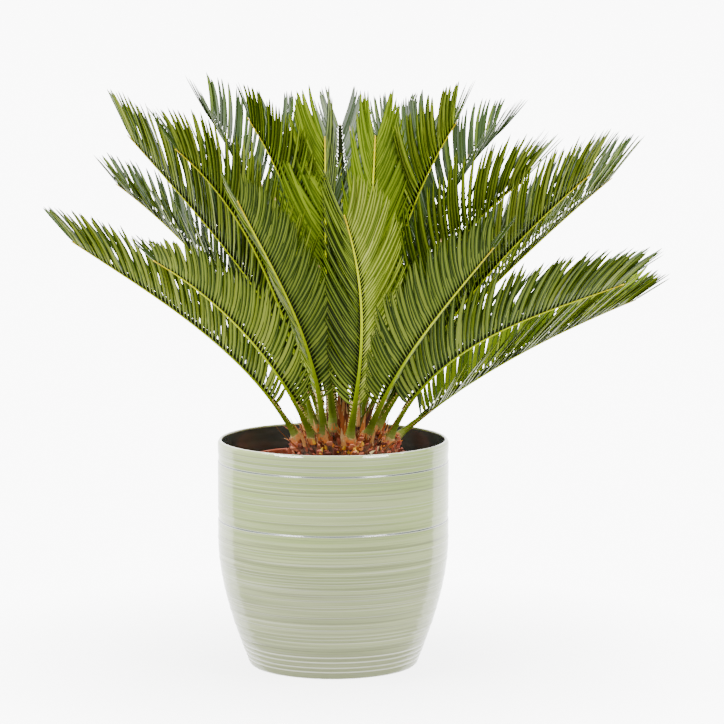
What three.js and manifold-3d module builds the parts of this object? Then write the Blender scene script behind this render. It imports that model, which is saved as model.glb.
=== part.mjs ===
// A potted sago palm: a glazed cover pot, the nursery pot and soil inside it, the trunk with
// its scales, and one thin toothed blade for each frond. Millimetres, +Z up, the front
// towards -Y. The origin is the middle of the cover pot's flat underside.
import * as THREE from 'three';
import { mergeVertices } from 'three/addons/utils/BufferGeometryUtils.js';
import Module from 'manifold-3d';

const wasm = await Module();
wasm.setup();

const GAP = 0.3; // between pieces that only touch
const WELD = 1e-4; // corners closer than this are one corner
const TURNED_SIDES = 40; // of the pots and the soil
const TRUNK_SIDES = 28;

// Cover pot
const POT_HEIGHT = 245;
const POT_RADIUS = 125.4;
const POT_FOOT_RADIUS = 91.5;
const POT_STRAIGHT_FROM = 140; // below this height the wall curves in to the foot
const POT_FOOT_SLOPE = 0.4; // outward run of the wall at the foot for each mm of height
const POT_EDGE = 2; // bevel round the underside
const POT_WALL = 5;
const POT_FLOOR = 8;
const POT_WALL_STEPS = 7; // up the curved part of the wall
const POT_RIM_STEPS = 4; // over the rim's half round

// Nursery pot, which stands on the cover pot's floor
const NURSERY_HEIGHT = 213;
const NURSERY_RADIUS = 101;
const NURSERY_FOOT_RADIUS = 76;
const NURSERY_WALL = 1.6;
const NURSERY_LIP = 2; // how far the lip stands out
const NURSERY_LIP_HEIGHT = 12;
const SOIL_BELOW_LIP = 9.5;

const NURSERY_BASE = POT_FLOOR + GAP;
const NURSERY_TOP = NURSERY_BASE + NURSERY_HEIGHT;
const SOIL_TOP = NURSERY_TOP - SOIL_BELOW_LIP;

// Trunk: a squat dome that narrows to a bud. Each pair is a radius and a height over the soil.
const CROWN_X = 12.5;
const CROWN_Y = -2;
const TRUNK_PROFILE = [
  [57, 0],
  [59.5, 12],
  [58.5, 24],
  [55, 31],
  [50, 36],
  [30, 45.6],
  [10, 55],
  [5, 70],
  [0, 80],
];
const SCALE_RINGS = [
  { radius: 58, count: 26, length: 22, lean: 52 },
  { radius: 53, count: 34, length: 28, lean: 34 },
  { radius: 38, count: 26, length: 34, lean: 22 },
  { radius: 22, count: 16, length: 36, lean: 12 },
];
const SCALE_SIDES = 4;
const SCALE_HALF_WIDTH = 4.2;
const SCALE_SUNK = 7;
const SCALE_CLEARANCE = 0.6; // from any frond's stalk

// Fronds. `heading` is the compass way a frond leans, 0 along +X and 90 along +Y. `rise` is
// its rib's angle above level at the foot, the middle and the tip. `ring` is the radius on
// the trunk where it stands. `sway` turns the heading towards the tip, `roll` turns the
// blade about its rib, `foot` is the compass way of the foot where it isn't the heading,
// `full` lengthens or shortens the leaflets and `close` folds them in towards the rib.
const FRONDS = [
  // outer fronds, low and wide
  { heading: -160, rise: [60, 39, 34], length: 337, ring: 52, full: 1.05 },
  { heading: -132, rise: [58, 41, 26], length: 322, ring: 48, full: 0.85 },
  { heading: -118, rise: [82, 51, 48], length: 330, ring: 45, full: 0.8 },
  { heading: -66, rise: [68, 58, 54], length: 296, ring: 46, sway: -48, foot: -84, full: 1.2 },
  { heading: -56, rise: [58, 42, 39], length: 318, ring: 42 },
  { heading: -28, rise: [66, 29, 21], length: 338, ring: 52, full: 1.15 },
  { heading: 22, rise: [36, 25, 18], length: 325, ring: 56, full: 1.1 },
  { heading: 46, rise: [52, 36, 24], length: 345, ring: 46 },
  { heading: 70, rise: [56, 40, 28], length: 350, ring: 46 },
  { heading: 94, rise: [54, 38, 24], length: 345, ring: 46 },
  { heading: 117, rise: [57, 42, 30], length: 350, ring: 46 },
  { heading: 130, rise: [58, 46, 34], length: 340, ring: 46 },
  // middle fronds
  { heading: 165, rise: [60, 50, 34], length: 346, ring: 33, full: 0.9 },
  { heading: -170, rise: [73, 54, 49], length: 380, ring: 23, full: 1.08 },
  { heading: -153, rise: [74, 65, 38], length: 354, ring: 34, full: 1.1 },
  { heading: -28, rise: [64, 58, 32], length: 336, ring: 22, full: 1.25 },
  { heading: -20, rise: [58, 50, 40], length: 372, ring: 34, full: 1.08 },
  { heading: 14, rise: [52, 44, 38], length: 378, ring: 30, full: 1.15 },
  { heading: 76, rise: [66, 58, 44], length: 370, ring: 32 },
  { heading: 62, rise: [72, 62, 40], length: 363, ring: 24 },
  { heading: 112, rise: [70, 62, 42], length: 360, ring: 24 },
  // inner fronds, nearly upright
  { heading: -158, rise: [85, 76, 55], length: 346, ring: 16, full: 0.9 },
  { heading: -115, rise: [76, 88, 88], length: 316, ring: 27, roll: -60, full: 1.3, close: 0.74 },
  { heading: -70, rise: [70, 76, 84], length: 324, ring: 18, roll: 28, full: 1.15, close: 0.7 },
  { heading: -35, rise: [75, 70, 53], length: 353, ring: 12 },
  { heading: 46, rise: [63, 54, 32], length: 382, ring: 12 },
  { heading: 138, rise: [70, 60, 46], length: 376, ring: 14 },
  { heading: 92, rise: [72, 64, 46], length: 352, ring: 14 },
];
const RIB_STEPS = 24;
const LEAFLETS = 24; // on each side of a rib
const BARE_SHARE = 0.14; // of the rib's length, below the first leaflet
const BLADE_END = 0.985; // of the rib's length, past the last leaflet
const STALK_ROWS = 3;
const STALK_SUNK = 8; // how far a stalk runs into the trunk before it is cut to its seat
const LEAFLET_SHARE = 0.25; // longest leaflet, of the frond's length
const KEEL = 45; // degrees that leaflets stand up from the blade's plane
const SHORTER = [1, 0.85, 0.7, 0.55, 0.4, 0.28]; // lengths tried for a crowded leaflet
const LEAFLET_CLEARANCE = 2.6; // between the middles of two leaflets

// Each of these pairs a place along the rib or the blade, from 0 to 1, with a value there.
const RIB_HALF_WIDTH = [[0, 4.6], [0.08, 4], [0.2, 3], [0.5, 2.2], [1, 0.8]];
const RIB_HALF_HEIGHT = [[0, 4.2], [0.08, 3.4], [0.2, 2.4], [0.5, 1.8], [1, 0.8]];
const LEAFLET_ANGLE = [[0, 62], [0.12, 50], [0.35, 43], [0.7, 36], [1, 23]];
const LEAFLET_LENGTH = [[0, 0.3], [0.1, 0.62], [0.3, 1], [0.7, 0.98], [0.9, 0.8], [1, 0.6]];

const FINISHES = {
  glaze: { color: 0xb4bf9f, roughness: 0.2, metalness: 0 },
  terracotta: { color: 0x8a4a35, roughness: 0.6, metalness: 0 },
  soil: { color: 0x3a2c22, roughness: 0.95, metalness: 0 },
  bark: { color: 0xa0663f, roughness: 0.85, metalness: 0 },
  frond: { color: 0x6f8f3a, roughness: 0.5, metalness: 0 },
};

const radians = THREE.MathUtils.degToRad;
const crown = new THREE.Vector3(CROWN_X, CROWN_Y, SOIL_TOP);

// The value at `place` on a line through the stops.
function valueAt(stops, place) {
  const after = stops.findIndex(([at]) => at >= place);
  if (after < 0) return stops.at(-1)[1];
  if (after === 0) return stops[0][1];
  const [[from, low], [to, high]] = [stops[after - 1], stops[after]];
  return THREE.MathUtils.mapLinear(place, from, to, low, high);
}

// ---- turned pieces ----

function turned(profile, sides) {
  return new THREE.LatheGeometry(profile, sides).rotateX(Math.PI / 2);
}

function coverPotOutline(inset, floor, edge) {
  const height = POT_STRAIGHT_FROM;
  const pull = height / 3;
  const foot = POT_FOOT_RADIUS - inset;
  const slope = POT_FOOT_SLOPE;
  const wall = new THREE.CubicBezierCurve(
    new THREE.Vector2(foot, 0),
    new THREE.Vector2(foot + slope * pull, pull),
    new THREE.Vector2(POT_RADIUS - inset, height - pull),
    new THREE.Vector2(POT_RADIUS - inset, height),
  );
  const side = wall.getPoints(POT_WALL_STEPS).filter((point) => point.y > floor + edge);
  const atFloor = foot + slope * floor;
  return [
    new THREE.Vector2(0, floor),
    new THREE.Vector2(atFloor - edge, floor),
    new THREE.Vector2(atFloor + slope * edge, floor + edge),
    ...side,
  ];
}

function coverPot() {
  const outside = coverPotOutline(0, 0, POT_EDGE);
  const inside = coverPotOutline(POT_WALL, POT_FLOOR, POT_EDGE);
  const lip = POT_WALL / 2;
  const round = new THREE.EllipseCurve(POT_RADIUS - lip, POT_HEIGHT - lip, lip, lip, 0, Math.PI);
  const rim = round.getPoints(POT_RIM_STEPS);
  return turned([...outside, ...rim, ...inside.reverse()], TURNED_SIDES);
}

function nurseryPot() {
  const wall = NURSERY_WALL;
  const lipFrom = NURSERY_TOP - NURSERY_LIP_HEIGHT;
  const profile = [
    [0, NURSERY_BASE],
    [NURSERY_FOOT_RADIUS, NURSERY_BASE],
    [NURSERY_RADIUS, lipFrom],
    [NURSERY_RADIUS + NURSERY_LIP, lipFrom],
    [NURSERY_RADIUS + NURSERY_LIP, NURSERY_TOP],
    [NURSERY_RADIUS - wall, NURSERY_TOP],
    [NURSERY_RADIUS - wall, lipFrom],
    [NURSERY_FOOT_RADIUS - wall, NURSERY_BASE + wall],
    [0, NURSERY_BASE + wall],
  ];
  return turned(profile.map(([x, y]) => new THREE.Vector2(x, y)), TURNED_SIDES);
}

function soil() {
  const inset = NURSERY_WALL + GAP;
  const profile = [
    [0, NURSERY_BASE + inset],
    [NURSERY_FOOT_RADIUS - inset, NURSERY_BASE + inset],
    [NURSERY_RADIUS - inset, NURSERY_TOP - NURSERY_LIP_HEIGHT],
    [NURSERY_RADIUS - inset, SOIL_TOP],
    [0, SOIL_TOP],
  ];
  return turned(profile.map(([x, y]) => new THREE.Vector2(x, y)), TURNED_SIDES);
}

// ---- joins and cuts ----

function asManifold(geometry) {
  const bare = geometry.clone();
  bare.deleteAttribute('normal');
  bare.deleteAttribute('uv');
  const welded = mergeVertices(bare, WELD);
  const corners = welded.index.array;
  const kept = [];
  for (let i = 0; i < corners.length; i += 3) {
    const [a, b, c] = corners.slice(i, i + 3);
    if (a !== b && b !== c && c !== a) kept.push(a, b, c);
  }
  return new wasm.Manifold(
    new wasm.Mesh({
      numProp: 3,
      vertProperties: Float32Array.from(welded.attributes.position.array),
      triVerts: Uint32Array.from(kept),
    }),
  );
}

function asGeometry(solid) {
  const mesh = solid.getMesh();
  const geometry = new THREE.BufferGeometry();
  geometry.setAttribute('position', new THREE.BufferAttribute(mesh.vertProperties, 3));
  geometry.setIndex(new THREE.BufferAttribute(mesh.triVerts, 1));
  return geometry;
}

// ---- trunk ----

function trunkCore(grown) {
  const profile = TRUNK_PROFILE.map(
    ([radius, height]) => new THREE.Vector2(radius && radius + grown, height && height + grown),
  );
  const core = turned([new THREE.Vector2(0, -grown), ...profile], TRUNK_SIDES);
  return core.translate(crown.x, crown.y, crown.z);
}

// The point on the trunk's upper surface at a radius and a compass way.
function seat(radius, heading) {
  const tipToWidest = TRUNK_PROFILE.slice(1).reverse();
  const height = valueAt(tipToWidest, radius);
  const turn = radians(heading);
  return new THREE.Vector3(radius * Math.cos(turn), radius * Math.sin(turn), height).add(crown);
}

// ---- fronds ----

// The rib's direction, with the blade's side and its upper normal.
function frameAt(frond, place) {
  const [low, middle, high] = frond.rise;
  const rise = radians(
    low * (1 - place) * (1 - 2 * place) +
      middle * 4 * place * (1 - place) +
      high * place * (2 * place - 1),
  );
  const heading = radians(frond.heading + (frond.sway ?? 0) * place);
  const outward = new THREE.Vector3(Math.cos(heading), Math.sin(heading), 0);
  const up = new THREE.Vector3(0, 0, 1);
  const along = outward.clone().multiplyScalar(Math.cos(rise)).addScaledVector(up, Math.sin(rise));
  const side = new THREE.Vector3(outward.y, -outward.x, 0);
  const roll = radians((frond.roll ?? 0) * Math.min(1, 2 * place));
  side.applyAxisAngle(along, -roll);
  return { along, side, normal: side.clone().cross(along) };
}

function ribCurve(frond) {
  const point = seat(frond.ring, frond.foot ?? frond.heading);
  const points = [point.clone()];
  for (let step = 0; step < RIB_STEPS; step += 1) {
    const { along } = frameAt(frond, (step + 0.5) / RIB_STEPS);
    point.addScaledVector(along, frond.length / RIB_STEPS);
    points.push(point.clone());
  }
  return new THREE.CatmullRomCurve3(points);
}

// Where leaflet `index` leaves the rib, from 0 at the foot to 1 at the tip. Halves lie between.
function leafletPlace(index) {
  return BARE_SHARE + ((BLADE_END - BARE_SHARE) * index) / LEAFLETS;
}

function ribEdge(frond, place, side) {
  const { side: across } = frameAt(frond, place);
  const reach = side * valueAt(RIB_HALF_WIDTH, place);
  return frond.curve.getPoint(place).addScaledVector(across, reach);
}

function leafletTip(frond, index, side, share) {
  const place = leafletPlace(index + 0.5);
  const blade = (index + 0.5) / LEAFLETS;
  const { along, side: across, normal } = frameAt(frond, place);
  const angle = radians(valueAt(LEAFLET_ANGLE, blade) * (frond.close ?? 1));
  const keel = radians(KEEL);
  const way = along.multiplyScalar(Math.cos(angle));
  way.addScaledVector(across, side * Math.sin(angle) * Math.cos(keel));
  way.addScaledVector(normal, Math.sin(angle) * Math.sin(keel));
  const longest = frond.length * LEAFLET_SHARE * (frond.full ?? 1);
  const length = longest * valueAt(LEAFLET_LENGTH, blade) * share;
  return ribEdge(frond, place, side).addScaledVector(way, length);
}

// A face with what the clearance tests need.
function leafletFace(frond, index, side, share) {
  const face = new THREE.Triangle(
    ribEdge(frond, leafletPlace(index), side),
    ribEdge(frond, leafletPlace(index + 1), side),
    leafletTip(frond, index, side, share),
  );
  const corners = [face.a, face.b, face.c];
  const edges = corners.map((corner, i) => new THREE.Line3(corner, corners[(i + 1) % 3]));
  return { frond, face, edges, ball: new THREE.Sphere().setFromPoints(corners) };
}

// The shortest way from a line to a face, 0 where the line pierces it.
function lineToFace(line, { face, edges }) {
  const way = line.delta(new THREE.Vector3());
  const reach = way.length();
  const ray = new THREE.Ray(line.start, way.divideScalar(reach));
  const near = new THREE.Vector3();
  const hit = ray.intersectTriangle(face.a, face.b, face.c, false, near);
  if (hit && near.distanceTo(line.start) <= reach) return 0;
  let gap = Math.sqrt(Math.min(...edges.map((edge) => edge.distanceSqToLine3(line))));
  for (const end of [line.start, line.end]) {
    gap = Math.min(gap, face.closestPointToPoint(end, near).distanceTo(end));
  }
  return gap;
}

function leafletsTouch(one, other) {
  const apart = one.ball.center.distanceTo(other.ball.center);
  if (apart > one.ball.radius + other.ball.radius + LEAFLET_CLEARANCE) return false;
  const near = (edge, leaflet) => lineToFace(edge, leaflet) < LEAFLET_CLEARANCE;
  return one.edges.some((edge) => near(edge, other)) || other.edges.some((edge) => near(edge, one));
}

function touchesRib(leaflet, rib) {
  const clear = rib.radius + LEAFLET_CLEARANCE / 2 + GAP;
  if (leaflet.ball.center.distanceTo(rib.middle) > leaflet.ball.radius + rib.reach + clear) return false;
  return lineToFace(rib.line, leaflet) < clear;
}

function ribPieces(frond) {
  return Array.from({ length: RIB_STEPS }, (_, step) => {
    const [from, to] = [step / RIB_STEPS, (step + 1) / RIB_STEPS];
    const line = new THREE.Line3(frond.curve.getPoint(from), frond.curve.getPoint(to));
    const middle = line.getCenter(new THREE.Vector3());
    return { frond, line, middle, reach: line.distance() / 2, radius: valueAt(RIB_HALF_WIDTH, from) };
  });
}

// Gives every leaflet the longest share of its length that stays clear of the other fronds,
// or 0, from the tips inwards, so that the crown keeps its outline.
function spreadLeaflets(fronds) {
  const ribs = fronds.flatMap(ribPieces);
  const placed = [];
  const fits = (leaflet) =>
    !ribs.some((rib) => rib.frond !== leaflet.frond && touchesRib(leaflet, rib)) &&
    !placed.some((other) => other.frond !== leaflet.frond && leafletsTouch(leaflet, other));
  for (let index = LEAFLETS - 1; index >= 0; index -= 1) {
    for (const frond of fronds) {
      for (const side of [-1, 1]) {
        const share = SHORTER.find((tried) => fits(leafletFace(frond, index, side, tried))) ?? 0;
        frond.shares[side][index] = share;
        if (share > 0) placed.push(leafletFace(frond, index, side, share));
      }
    }
  }
}

// The rows of a blade from foot to tip: bare ones on the stalk, then a notch at the rib and a
// pair of leaflets by turns. A row is its place on the rib, and its leaflet's number or null.
function bladeRows() {
  const rows = [{ place: 0, sunk: STALK_SUNK, leaflet: null }];
  for (let row = 0; row < STALK_ROWS; row += 1) {
    rows.push({ place: (BARE_SHARE * row) / STALK_ROWS, sunk: 0, leaflet: null });
  }
  for (let index = 0; index < LEAFLETS; index += 1) {
    rows.push({ place: leafletPlace(index), sunk: 0, leaflet: null });
    rows.push({ place: leafletPlace(index + 0.5), sunk: 0, leaflet: index });
  }
  rows.push({ place: BLADE_END, sunk: 0, leaflet: null });
  rows.push({ place: 1, sunk: 0, leaflet: null });
  return rows;
}

// Each side of a rod is a strip of squares, cut in two from corner to corner. On two of the four
// sides the cut is turned, so that it never joins a leaflet's tip to the rib's ridge past it.
function turnCuts(corners, squares) {
  for (const strip of [1, 3]) {
    for (let square = 0; square < squares; square += 1) {
      const first = (strip * squares + square) * 6;
      const [a, b, d, , c] = corners.slice(first, first + 5);
      corners.set([a, b, c, a, c, d], first);
    }
  }
}

// A four-sided rod whose rings become the rows: its upper and lower corners ride the rib, and
// its side corners are the rib's edges, or a leaflet's tip.
function frondGeometry(frond) {
  const rows = bladeRows();
  const squares = rows.length - 1;
  const rod = new THREE.CylinderGeometry(1, 1, squares, 4, squares);
  rod.translate(0, squares / 2, 0);
  turnCuts(rod.index.array, squares);
  const corners = rod.attributes.position;
  for (let i = 0; i < corners.count; i += 1) {
    const [side, up] = [Math.round(corners.getX(i)), Math.round(corners.getZ(i))];
    const { place, sunk, leaflet } = rows[Math.round(corners.getY(i))];
    const { along, normal } = frameAt(frond, place);
    const share = leaflet === null || side === 0 ? 0 : frond.shares[side][leaflet];
    const point = share > 0 ? leafletTip(frond, leaflet, side, share) : ribEdge(frond, place, side);
    point.addScaledVector(normal, up * valueAt(RIB_HALF_HEIGHT, place));
    point.addScaledVector(along, -sunk);
    corners.setXYZ(i, point.x, point.y, point.z);
  }
  return asGeometry(asManifold(rod).subtract(asManifold(trunkCore(GAP))));
}

const fronds = FRONDS.map((values) => ({ ...values, shares: { '-1': [], 1: [] } }));
for (const frond of fronds) frond.curve = ribCurve(frond);
spreadLeaflets(fronds);

// ---- trunk scales, between the stalks ----

function scaleLine({ radius, count, length, lean }, number) {
  const heading = (360 * number) / count;
  const root = seat(radius, heading);
  const way = new THREE.Vector3(0, 0, 1);
  const turn = radians(heading);
  way.applyAxisAngle(new THREE.Vector3(-Math.sin(turn), Math.cos(turn), 0), radians(lean));
  const foot = root.clone().addScaledVector(way, -SCALE_SUNK);
  return new THREE.Line3(foot, root.addScaledVector(way, length));
}

function trunk() {
  const ribs = fronds.flatMap(ribPieces);
  let solid = asManifold(trunkCore(0));
  for (const ring of SCALE_RINGS) {
    for (let number = 0; number < ring.count; number += 1) {
      const line = scaleLine(ring, number);
      const clear = (rib) =>
        Math.sqrt(line.distanceSqToLine3(rib.line)) > rib.radius + SCALE_HALF_WIDTH + SCALE_CLEARANCE;
      if (!ribs.every(clear)) continue;
      const way = line.delta(new THREE.Vector3());
      const scale = new THREE.ConeGeometry(SCALE_HALF_WIDTH, way.length(), SCALE_SIDES);
      scale.translate(0, way.length() / 2, 0);
      const lean = new THREE.Quaternion();
      lean.setFromUnitVectors(new THREE.Vector3(0, 1, 0), way.normalize());
      scale.applyQuaternion(lean).translate(line.start.x, line.start.y, line.start.z);
      solid = solid.add(asManifold(scale));
    }
  }
  return asGeometry(solid);
}

// ---- the plant in its pots ----

const plant = new THREE.Group();

function addPiece(name, geometry, finish) {
  const piece = new THREE.Mesh(geometry, new THREE.MeshStandardMaterial(FINISHES[finish]));
  piece.name = name;
  plant.add(piece);
}

addPiece('cover_pot', coverPot(), 'glaze');
addPiece('nursery_pot', nurseryPot(), 'terracotta');
addPiece('soil', soil(), 'soil');
addPiece('trunk', trunk(), 'bark');
fronds.forEach((frond, index) => {
  const number = String(index + 1).padStart(2, '0');
  addPiece(`frond_${number}`, frondGeometry(frond), 'frond');
});

export default plant;
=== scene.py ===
"""Dresses a potted sago palm: a glazed cover pot, the nursery pot and potting mix in it, the
shaggy trunk, and a crown of stiff fronds. Metres, +Z up, the front towards -Y."""

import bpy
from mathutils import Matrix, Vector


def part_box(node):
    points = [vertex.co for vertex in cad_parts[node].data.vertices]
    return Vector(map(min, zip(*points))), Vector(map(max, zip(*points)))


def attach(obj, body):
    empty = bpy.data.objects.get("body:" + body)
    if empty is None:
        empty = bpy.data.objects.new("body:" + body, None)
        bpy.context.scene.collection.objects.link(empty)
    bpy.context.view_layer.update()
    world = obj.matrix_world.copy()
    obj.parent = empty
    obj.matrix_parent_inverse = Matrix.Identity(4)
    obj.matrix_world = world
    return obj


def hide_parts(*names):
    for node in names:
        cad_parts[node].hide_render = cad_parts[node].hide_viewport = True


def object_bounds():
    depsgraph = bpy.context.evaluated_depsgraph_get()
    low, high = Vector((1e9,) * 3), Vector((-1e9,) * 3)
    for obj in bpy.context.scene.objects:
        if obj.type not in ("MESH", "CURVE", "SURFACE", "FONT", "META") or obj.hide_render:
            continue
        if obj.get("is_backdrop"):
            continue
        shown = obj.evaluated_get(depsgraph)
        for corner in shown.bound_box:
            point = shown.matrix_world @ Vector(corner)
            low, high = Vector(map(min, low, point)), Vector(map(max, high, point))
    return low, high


bl_info = {
    "name": "Potted Sago Palm",
    "version": (1, 0, 0),
    "blender": (4, 5, 0),
    "location": "3D View > Sidebar > Palm",
    "description": "Builds a potted sago palm round its packed model",
    "category": "Add Mesh",
}

import math

import bpy
import numpy as np
from bpy.props import FloatProperty, FloatVectorProperty, PointerProperty

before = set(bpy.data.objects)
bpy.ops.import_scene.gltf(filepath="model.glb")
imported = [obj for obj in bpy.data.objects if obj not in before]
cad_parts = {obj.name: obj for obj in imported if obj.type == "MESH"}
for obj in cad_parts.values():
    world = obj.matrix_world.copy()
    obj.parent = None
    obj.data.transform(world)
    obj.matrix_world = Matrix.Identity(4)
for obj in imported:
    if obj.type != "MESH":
        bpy.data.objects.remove(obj)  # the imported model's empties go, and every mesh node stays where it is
CAD_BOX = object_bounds()

BODY = "root"
MM = 0.001
UP = np.array([0, 0, 1])
_, POT_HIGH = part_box("cover_pot")
NURSERY_LOW, NURSERY_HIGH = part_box("nursery_pot")
SOIL_LOW, SOIL_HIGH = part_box("soil")

# ---- the palm's own rule, in millimetres and degrees as its solids follow it ----

CROWN = np.array([12.5, -2.0, SOIL_HIGH.z / MM])
TRUNK_PROFILE = [
    (57, 0), (59.5, 12), (58.5, 24), (55, 31), (50, 36), (30, 45.6), (10, 55), (5, 70), (0, 80),
]

# Each frond's heading, rise at foot, middle and tip, length and ring on the trunk, and then
# what sets it apart from the others.
FRONDS = [
    # outer fronds, low and wide
    (-160, (60, 39, 34), 337, 52, dict(full=1.05, slim=1.08)),
    (-132, (58, 41, 26), 322, 48, dict(full=0.85)),
    (-118, (82, 51, 48), 330, 45, dict(full=0.8)),
    (-66, (68, 58, 54), 296, 46, dict(sway=-48, foot=-84, full=1.2)),
    (-56, (58, 42, 39), 318, 42, {}),
    (-28, (66, 29, 21), 338, 52, dict(full=1.15, slim=1.18)),
    (22, (36, 25, 18), 325, 56, dict(full=1.1, slim=1.12)),
    (46, (52, 36, 24), 345, 46, {}),
    (70, (56, 40, 28), 350, 46, {}),
    (94, (54, 38, 24), 345, 46, {}),
    (117, (57, 42, 30), 350, 46, {}),
    (130, (58, 46, 34), 340, 46, {}),
    # middle fronds
    (165, (60, 50, 34), 346, 33, dict(full=0.9, slim=0.85)),
    (-170, (73, 54, 49), 380, 23, dict(full=1.08, slim=0.85)),
    (-153, (74, 65, 38), 354, 34, dict(full=1.1, slim=0.9)),
    (-28, (64, 58, 32), 336, 22, dict(full=1.25, slim=0.85)),
    (-20, (58, 50, 40), 372, 34, dict(full=1.08, slim=0.85)),
    (14, (52, 44, 38), 378, 30, dict(full=1.15, slim=0.8)),
    (76, (66, 58, 44), 370, 32, dict(slim=0.75)),
    (62, (72, 62, 40), 363, 24, dict(slim=0.75)),
    (112, (70, 62, 42), 360, 24, dict(slim=0.75)),
    # inner fronds, nearly upright
    (-158, (85, 76, 55), 346, 16, dict(full=0.9, slim=0.85)),
    (-115, (76, 88, 88), 316, 27, dict(roll=-60, full=1.3, close=0.74, slim=0.9)),
    (-70, (70, 76, 84), 324, 18, dict(roll=28, full=1.15, close=0.7, slim=0.9)),
    (-35, (75, 70, 53), 353, 12, {}),
    (46, (63, 54, 32), 382, 12, dict(slim=0.72)),
    (138, (70, 60, 46), 376, 14, dict(slim=0.72)),
    (92, (72, 64, 46), 352, 14, dict(slim=0.72)),
]
TIERS = {
    "front_outer": range(0, 7), "back_outer": range(7, 12), "middle": range(12, 21),
    "inner": range(21, 28),
}

# Each of these pairs a place along the rib or the blade, from 0 to 1, with a value there.
RIB_HALF_WIDTH = [(0, 4.6), (0.08, 4), (0.2, 3), (0.5, 2.2), (1, 0.8)]
RIB_HALF_HEIGHT = [(0, 4.2), (0.08, 3.4), (0.2, 2.4), (0.5, 1.8), (1, 0.8)]
LEAFLET_ANGLE = [(0, 62), (0.12, 50), (0.35, 43), (0.7, 36), (1, 23)]
LEAFLET_LENGTH = [(0, 0.3), (0.1, 0.62), (0.3, 1), (0.7, 0.98), (0.9, 0.8), (1, 0.6)]
LEAFLET_SHARE = 0.25
BLADE_START, BLADE_END = 0.14, 0.985
RIB_TABLE = 120


def stops(pairs, place):
    """The value at each place on a line through the pairs."""
    places, values = zip(*pairs)
    return np.interp(place, places, values)


def trunk_height(radius):
    """The height of the trunk's upper surface at a radius."""
    return float(stops(TRUNK_PROFILE[:0:-1], radius))


def seat(ring, heading):
    """The point on the trunk's upper surface at a radius and a compass way."""
    turn = math.radians(heading)
    return (CROWN + [ring * math.cos(turn), ring * math.sin(turn), trunk_height(ring)]) * MM


class Frond:
    """A frond's rib, and the directions along it. Its heading sways from foot to tip, it rolls
    about its rib, and its foot may sit at a heading of its own. Its leaflets are as full (long),
    close (to the rib) and slim as these shares of the usual ones."""

    def __init__(
        self, index, heading, rise, length, ring, sway=0, roll=0, foot=None, full=1, close=1, slim=1
    ):
        self.node = f"frond_{index + 1:02d}"
        self.longest_leaflet = length * MM * LEAFLET_SHARE * full
        self.close, self.slim = close, slim
        self.heading, self.rise, self.length = heading, rise, length * MM
        self.sway, self.roll, self.ring = sway, roll, ring
        self.places = np.linspace(0, 1, RIB_TABLE + 1)
        along, _, _ = self.axes((self.places[1:] + self.places[:-1]) / 2)
        start = seat(ring, heading if foot is None else foot)
        run = np.cumsum(along, axis=0) * self.length / RIB_TABLE
        self.path = np.vstack([start, start + run])

    def axes(self, place):
        """The rib's direction, the blade's side and its upper normal at each place."""
        u = np.asarray(place, float)
        low, middle, high = self.rise
        rise = low * (1 - u) * (1 - 2 * u) + middle * 4 * u * (1 - u) + high * u * (2 * u - 1)
        rise, heading = np.radians(rise), np.radians(self.heading + self.sway * u)
        outward = np.stack([np.cos(heading), np.sin(heading), 0 * u], -1)
        along = outward * np.cos(rise)[..., None] + UP * np.sin(rise)[..., None]
        side = np.stack([outward[..., 1], -outward[..., 0], 0 * u], -1)
        roll = -np.radians(self.roll * np.minimum(1, 2 * u))[..., None]
        side = side * np.cos(roll) + np.cross(along, side) * np.sin(roll)
        return along, side, np.cross(side, along)

    def point(self, place):
        """The middle of the rib at each place."""
        return np.stack([np.interp(place, self.places, axis) for axis in self.path.T], -1)

    def stand(self, place):
        """The middle of the rib and the three directions at one place."""
        return self.point([place])[0], *(axis[0] for axis in self.axes([place]))


CROWN_FRONDS = [Frond(index, *row, **own) for index, (*row, own) in enumerate(FRONDS)]


def paint(red, green, blue):
    """A colour as seen on a screen, from 0 to 255, as the linear colour that shaders take."""
    shares = [value / 255 for value in (red, green, blue)]
    return tuple(v / 12.92 if v <= 0.04045 else ((v + 0.055) / 1.055) ** 2.4 for v in shares)


# ---- settings ----


def length(name, description, default):
    return FloatProperty(name=name, description=description, default=default, unit="LENGTH")


def turn(name, description, default):
    default = math.radians(default)
    return FloatProperty(name=name, description=description, default=default, unit="ROTATION")


def amount(name, description, default, unit="NONE"):
    return FloatProperty(name=name, description=description, default=default, unit=unit)


def colour(name, description, *shade):
    return FloatVectorProperty(
        name=name, description=description, default=paint(*shade), subtype="COLOR", min=0, max=1
    )


class PotSettings(bpy.types.PropertyGroup):
    """Sizes and colours of the two pots and the potting mix."""

    radius: length("Radius", "Outer radius of the cover pot", POT_HIGH.x)
    height: length("Height", "Height of the cover pot", POT_HIGH.z)
    foot_radius: length("Foot radius", "Radius of the cover pot's underside", 91.5 * MM)
    straight_from: length("Straight from", "Height where the wall turns upright", 0.140)
    wall: length("Wall", "Thickness of the cover pot's wall", 0.005)
    floor: length("Floor", "Thickness of the cover pot's floor", 0.008)
    glaze_high: colour("Upper glaze", "Sage green towards the rim", 164, 184, 110)
    glaze_low: colour("Lower glaze", "Greyer green towards the foot", 156, 165, 118)
    glaze_streak: colour("Streaks", "Pale grey brush streaks", 194, 201, 154)
    glaze_line: colour("Lines", "Darker grey lines round the pot", 126, 130, 96)
    glaze_rim: colour("Rim", "Pale glaze that has run off edges", 228, 230, 210)
    # Painted light: near-white paint on the strong ridges' upward facets, against the crown's shade there.
    ridge_light: colour("Ridges", "Painted light on the sharp ridges' facets", 254, 254, 242)
    inside: colour("Inside", "Dark glaze inside the pot", 78, 86, 85)
    plastic: colour("Nursery pot", "Brown plastic of the nursery pot", 188, 88, 54)
    mix: colour("Potting mix", "Damp peat and bark", 62, 44, 34)


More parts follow.
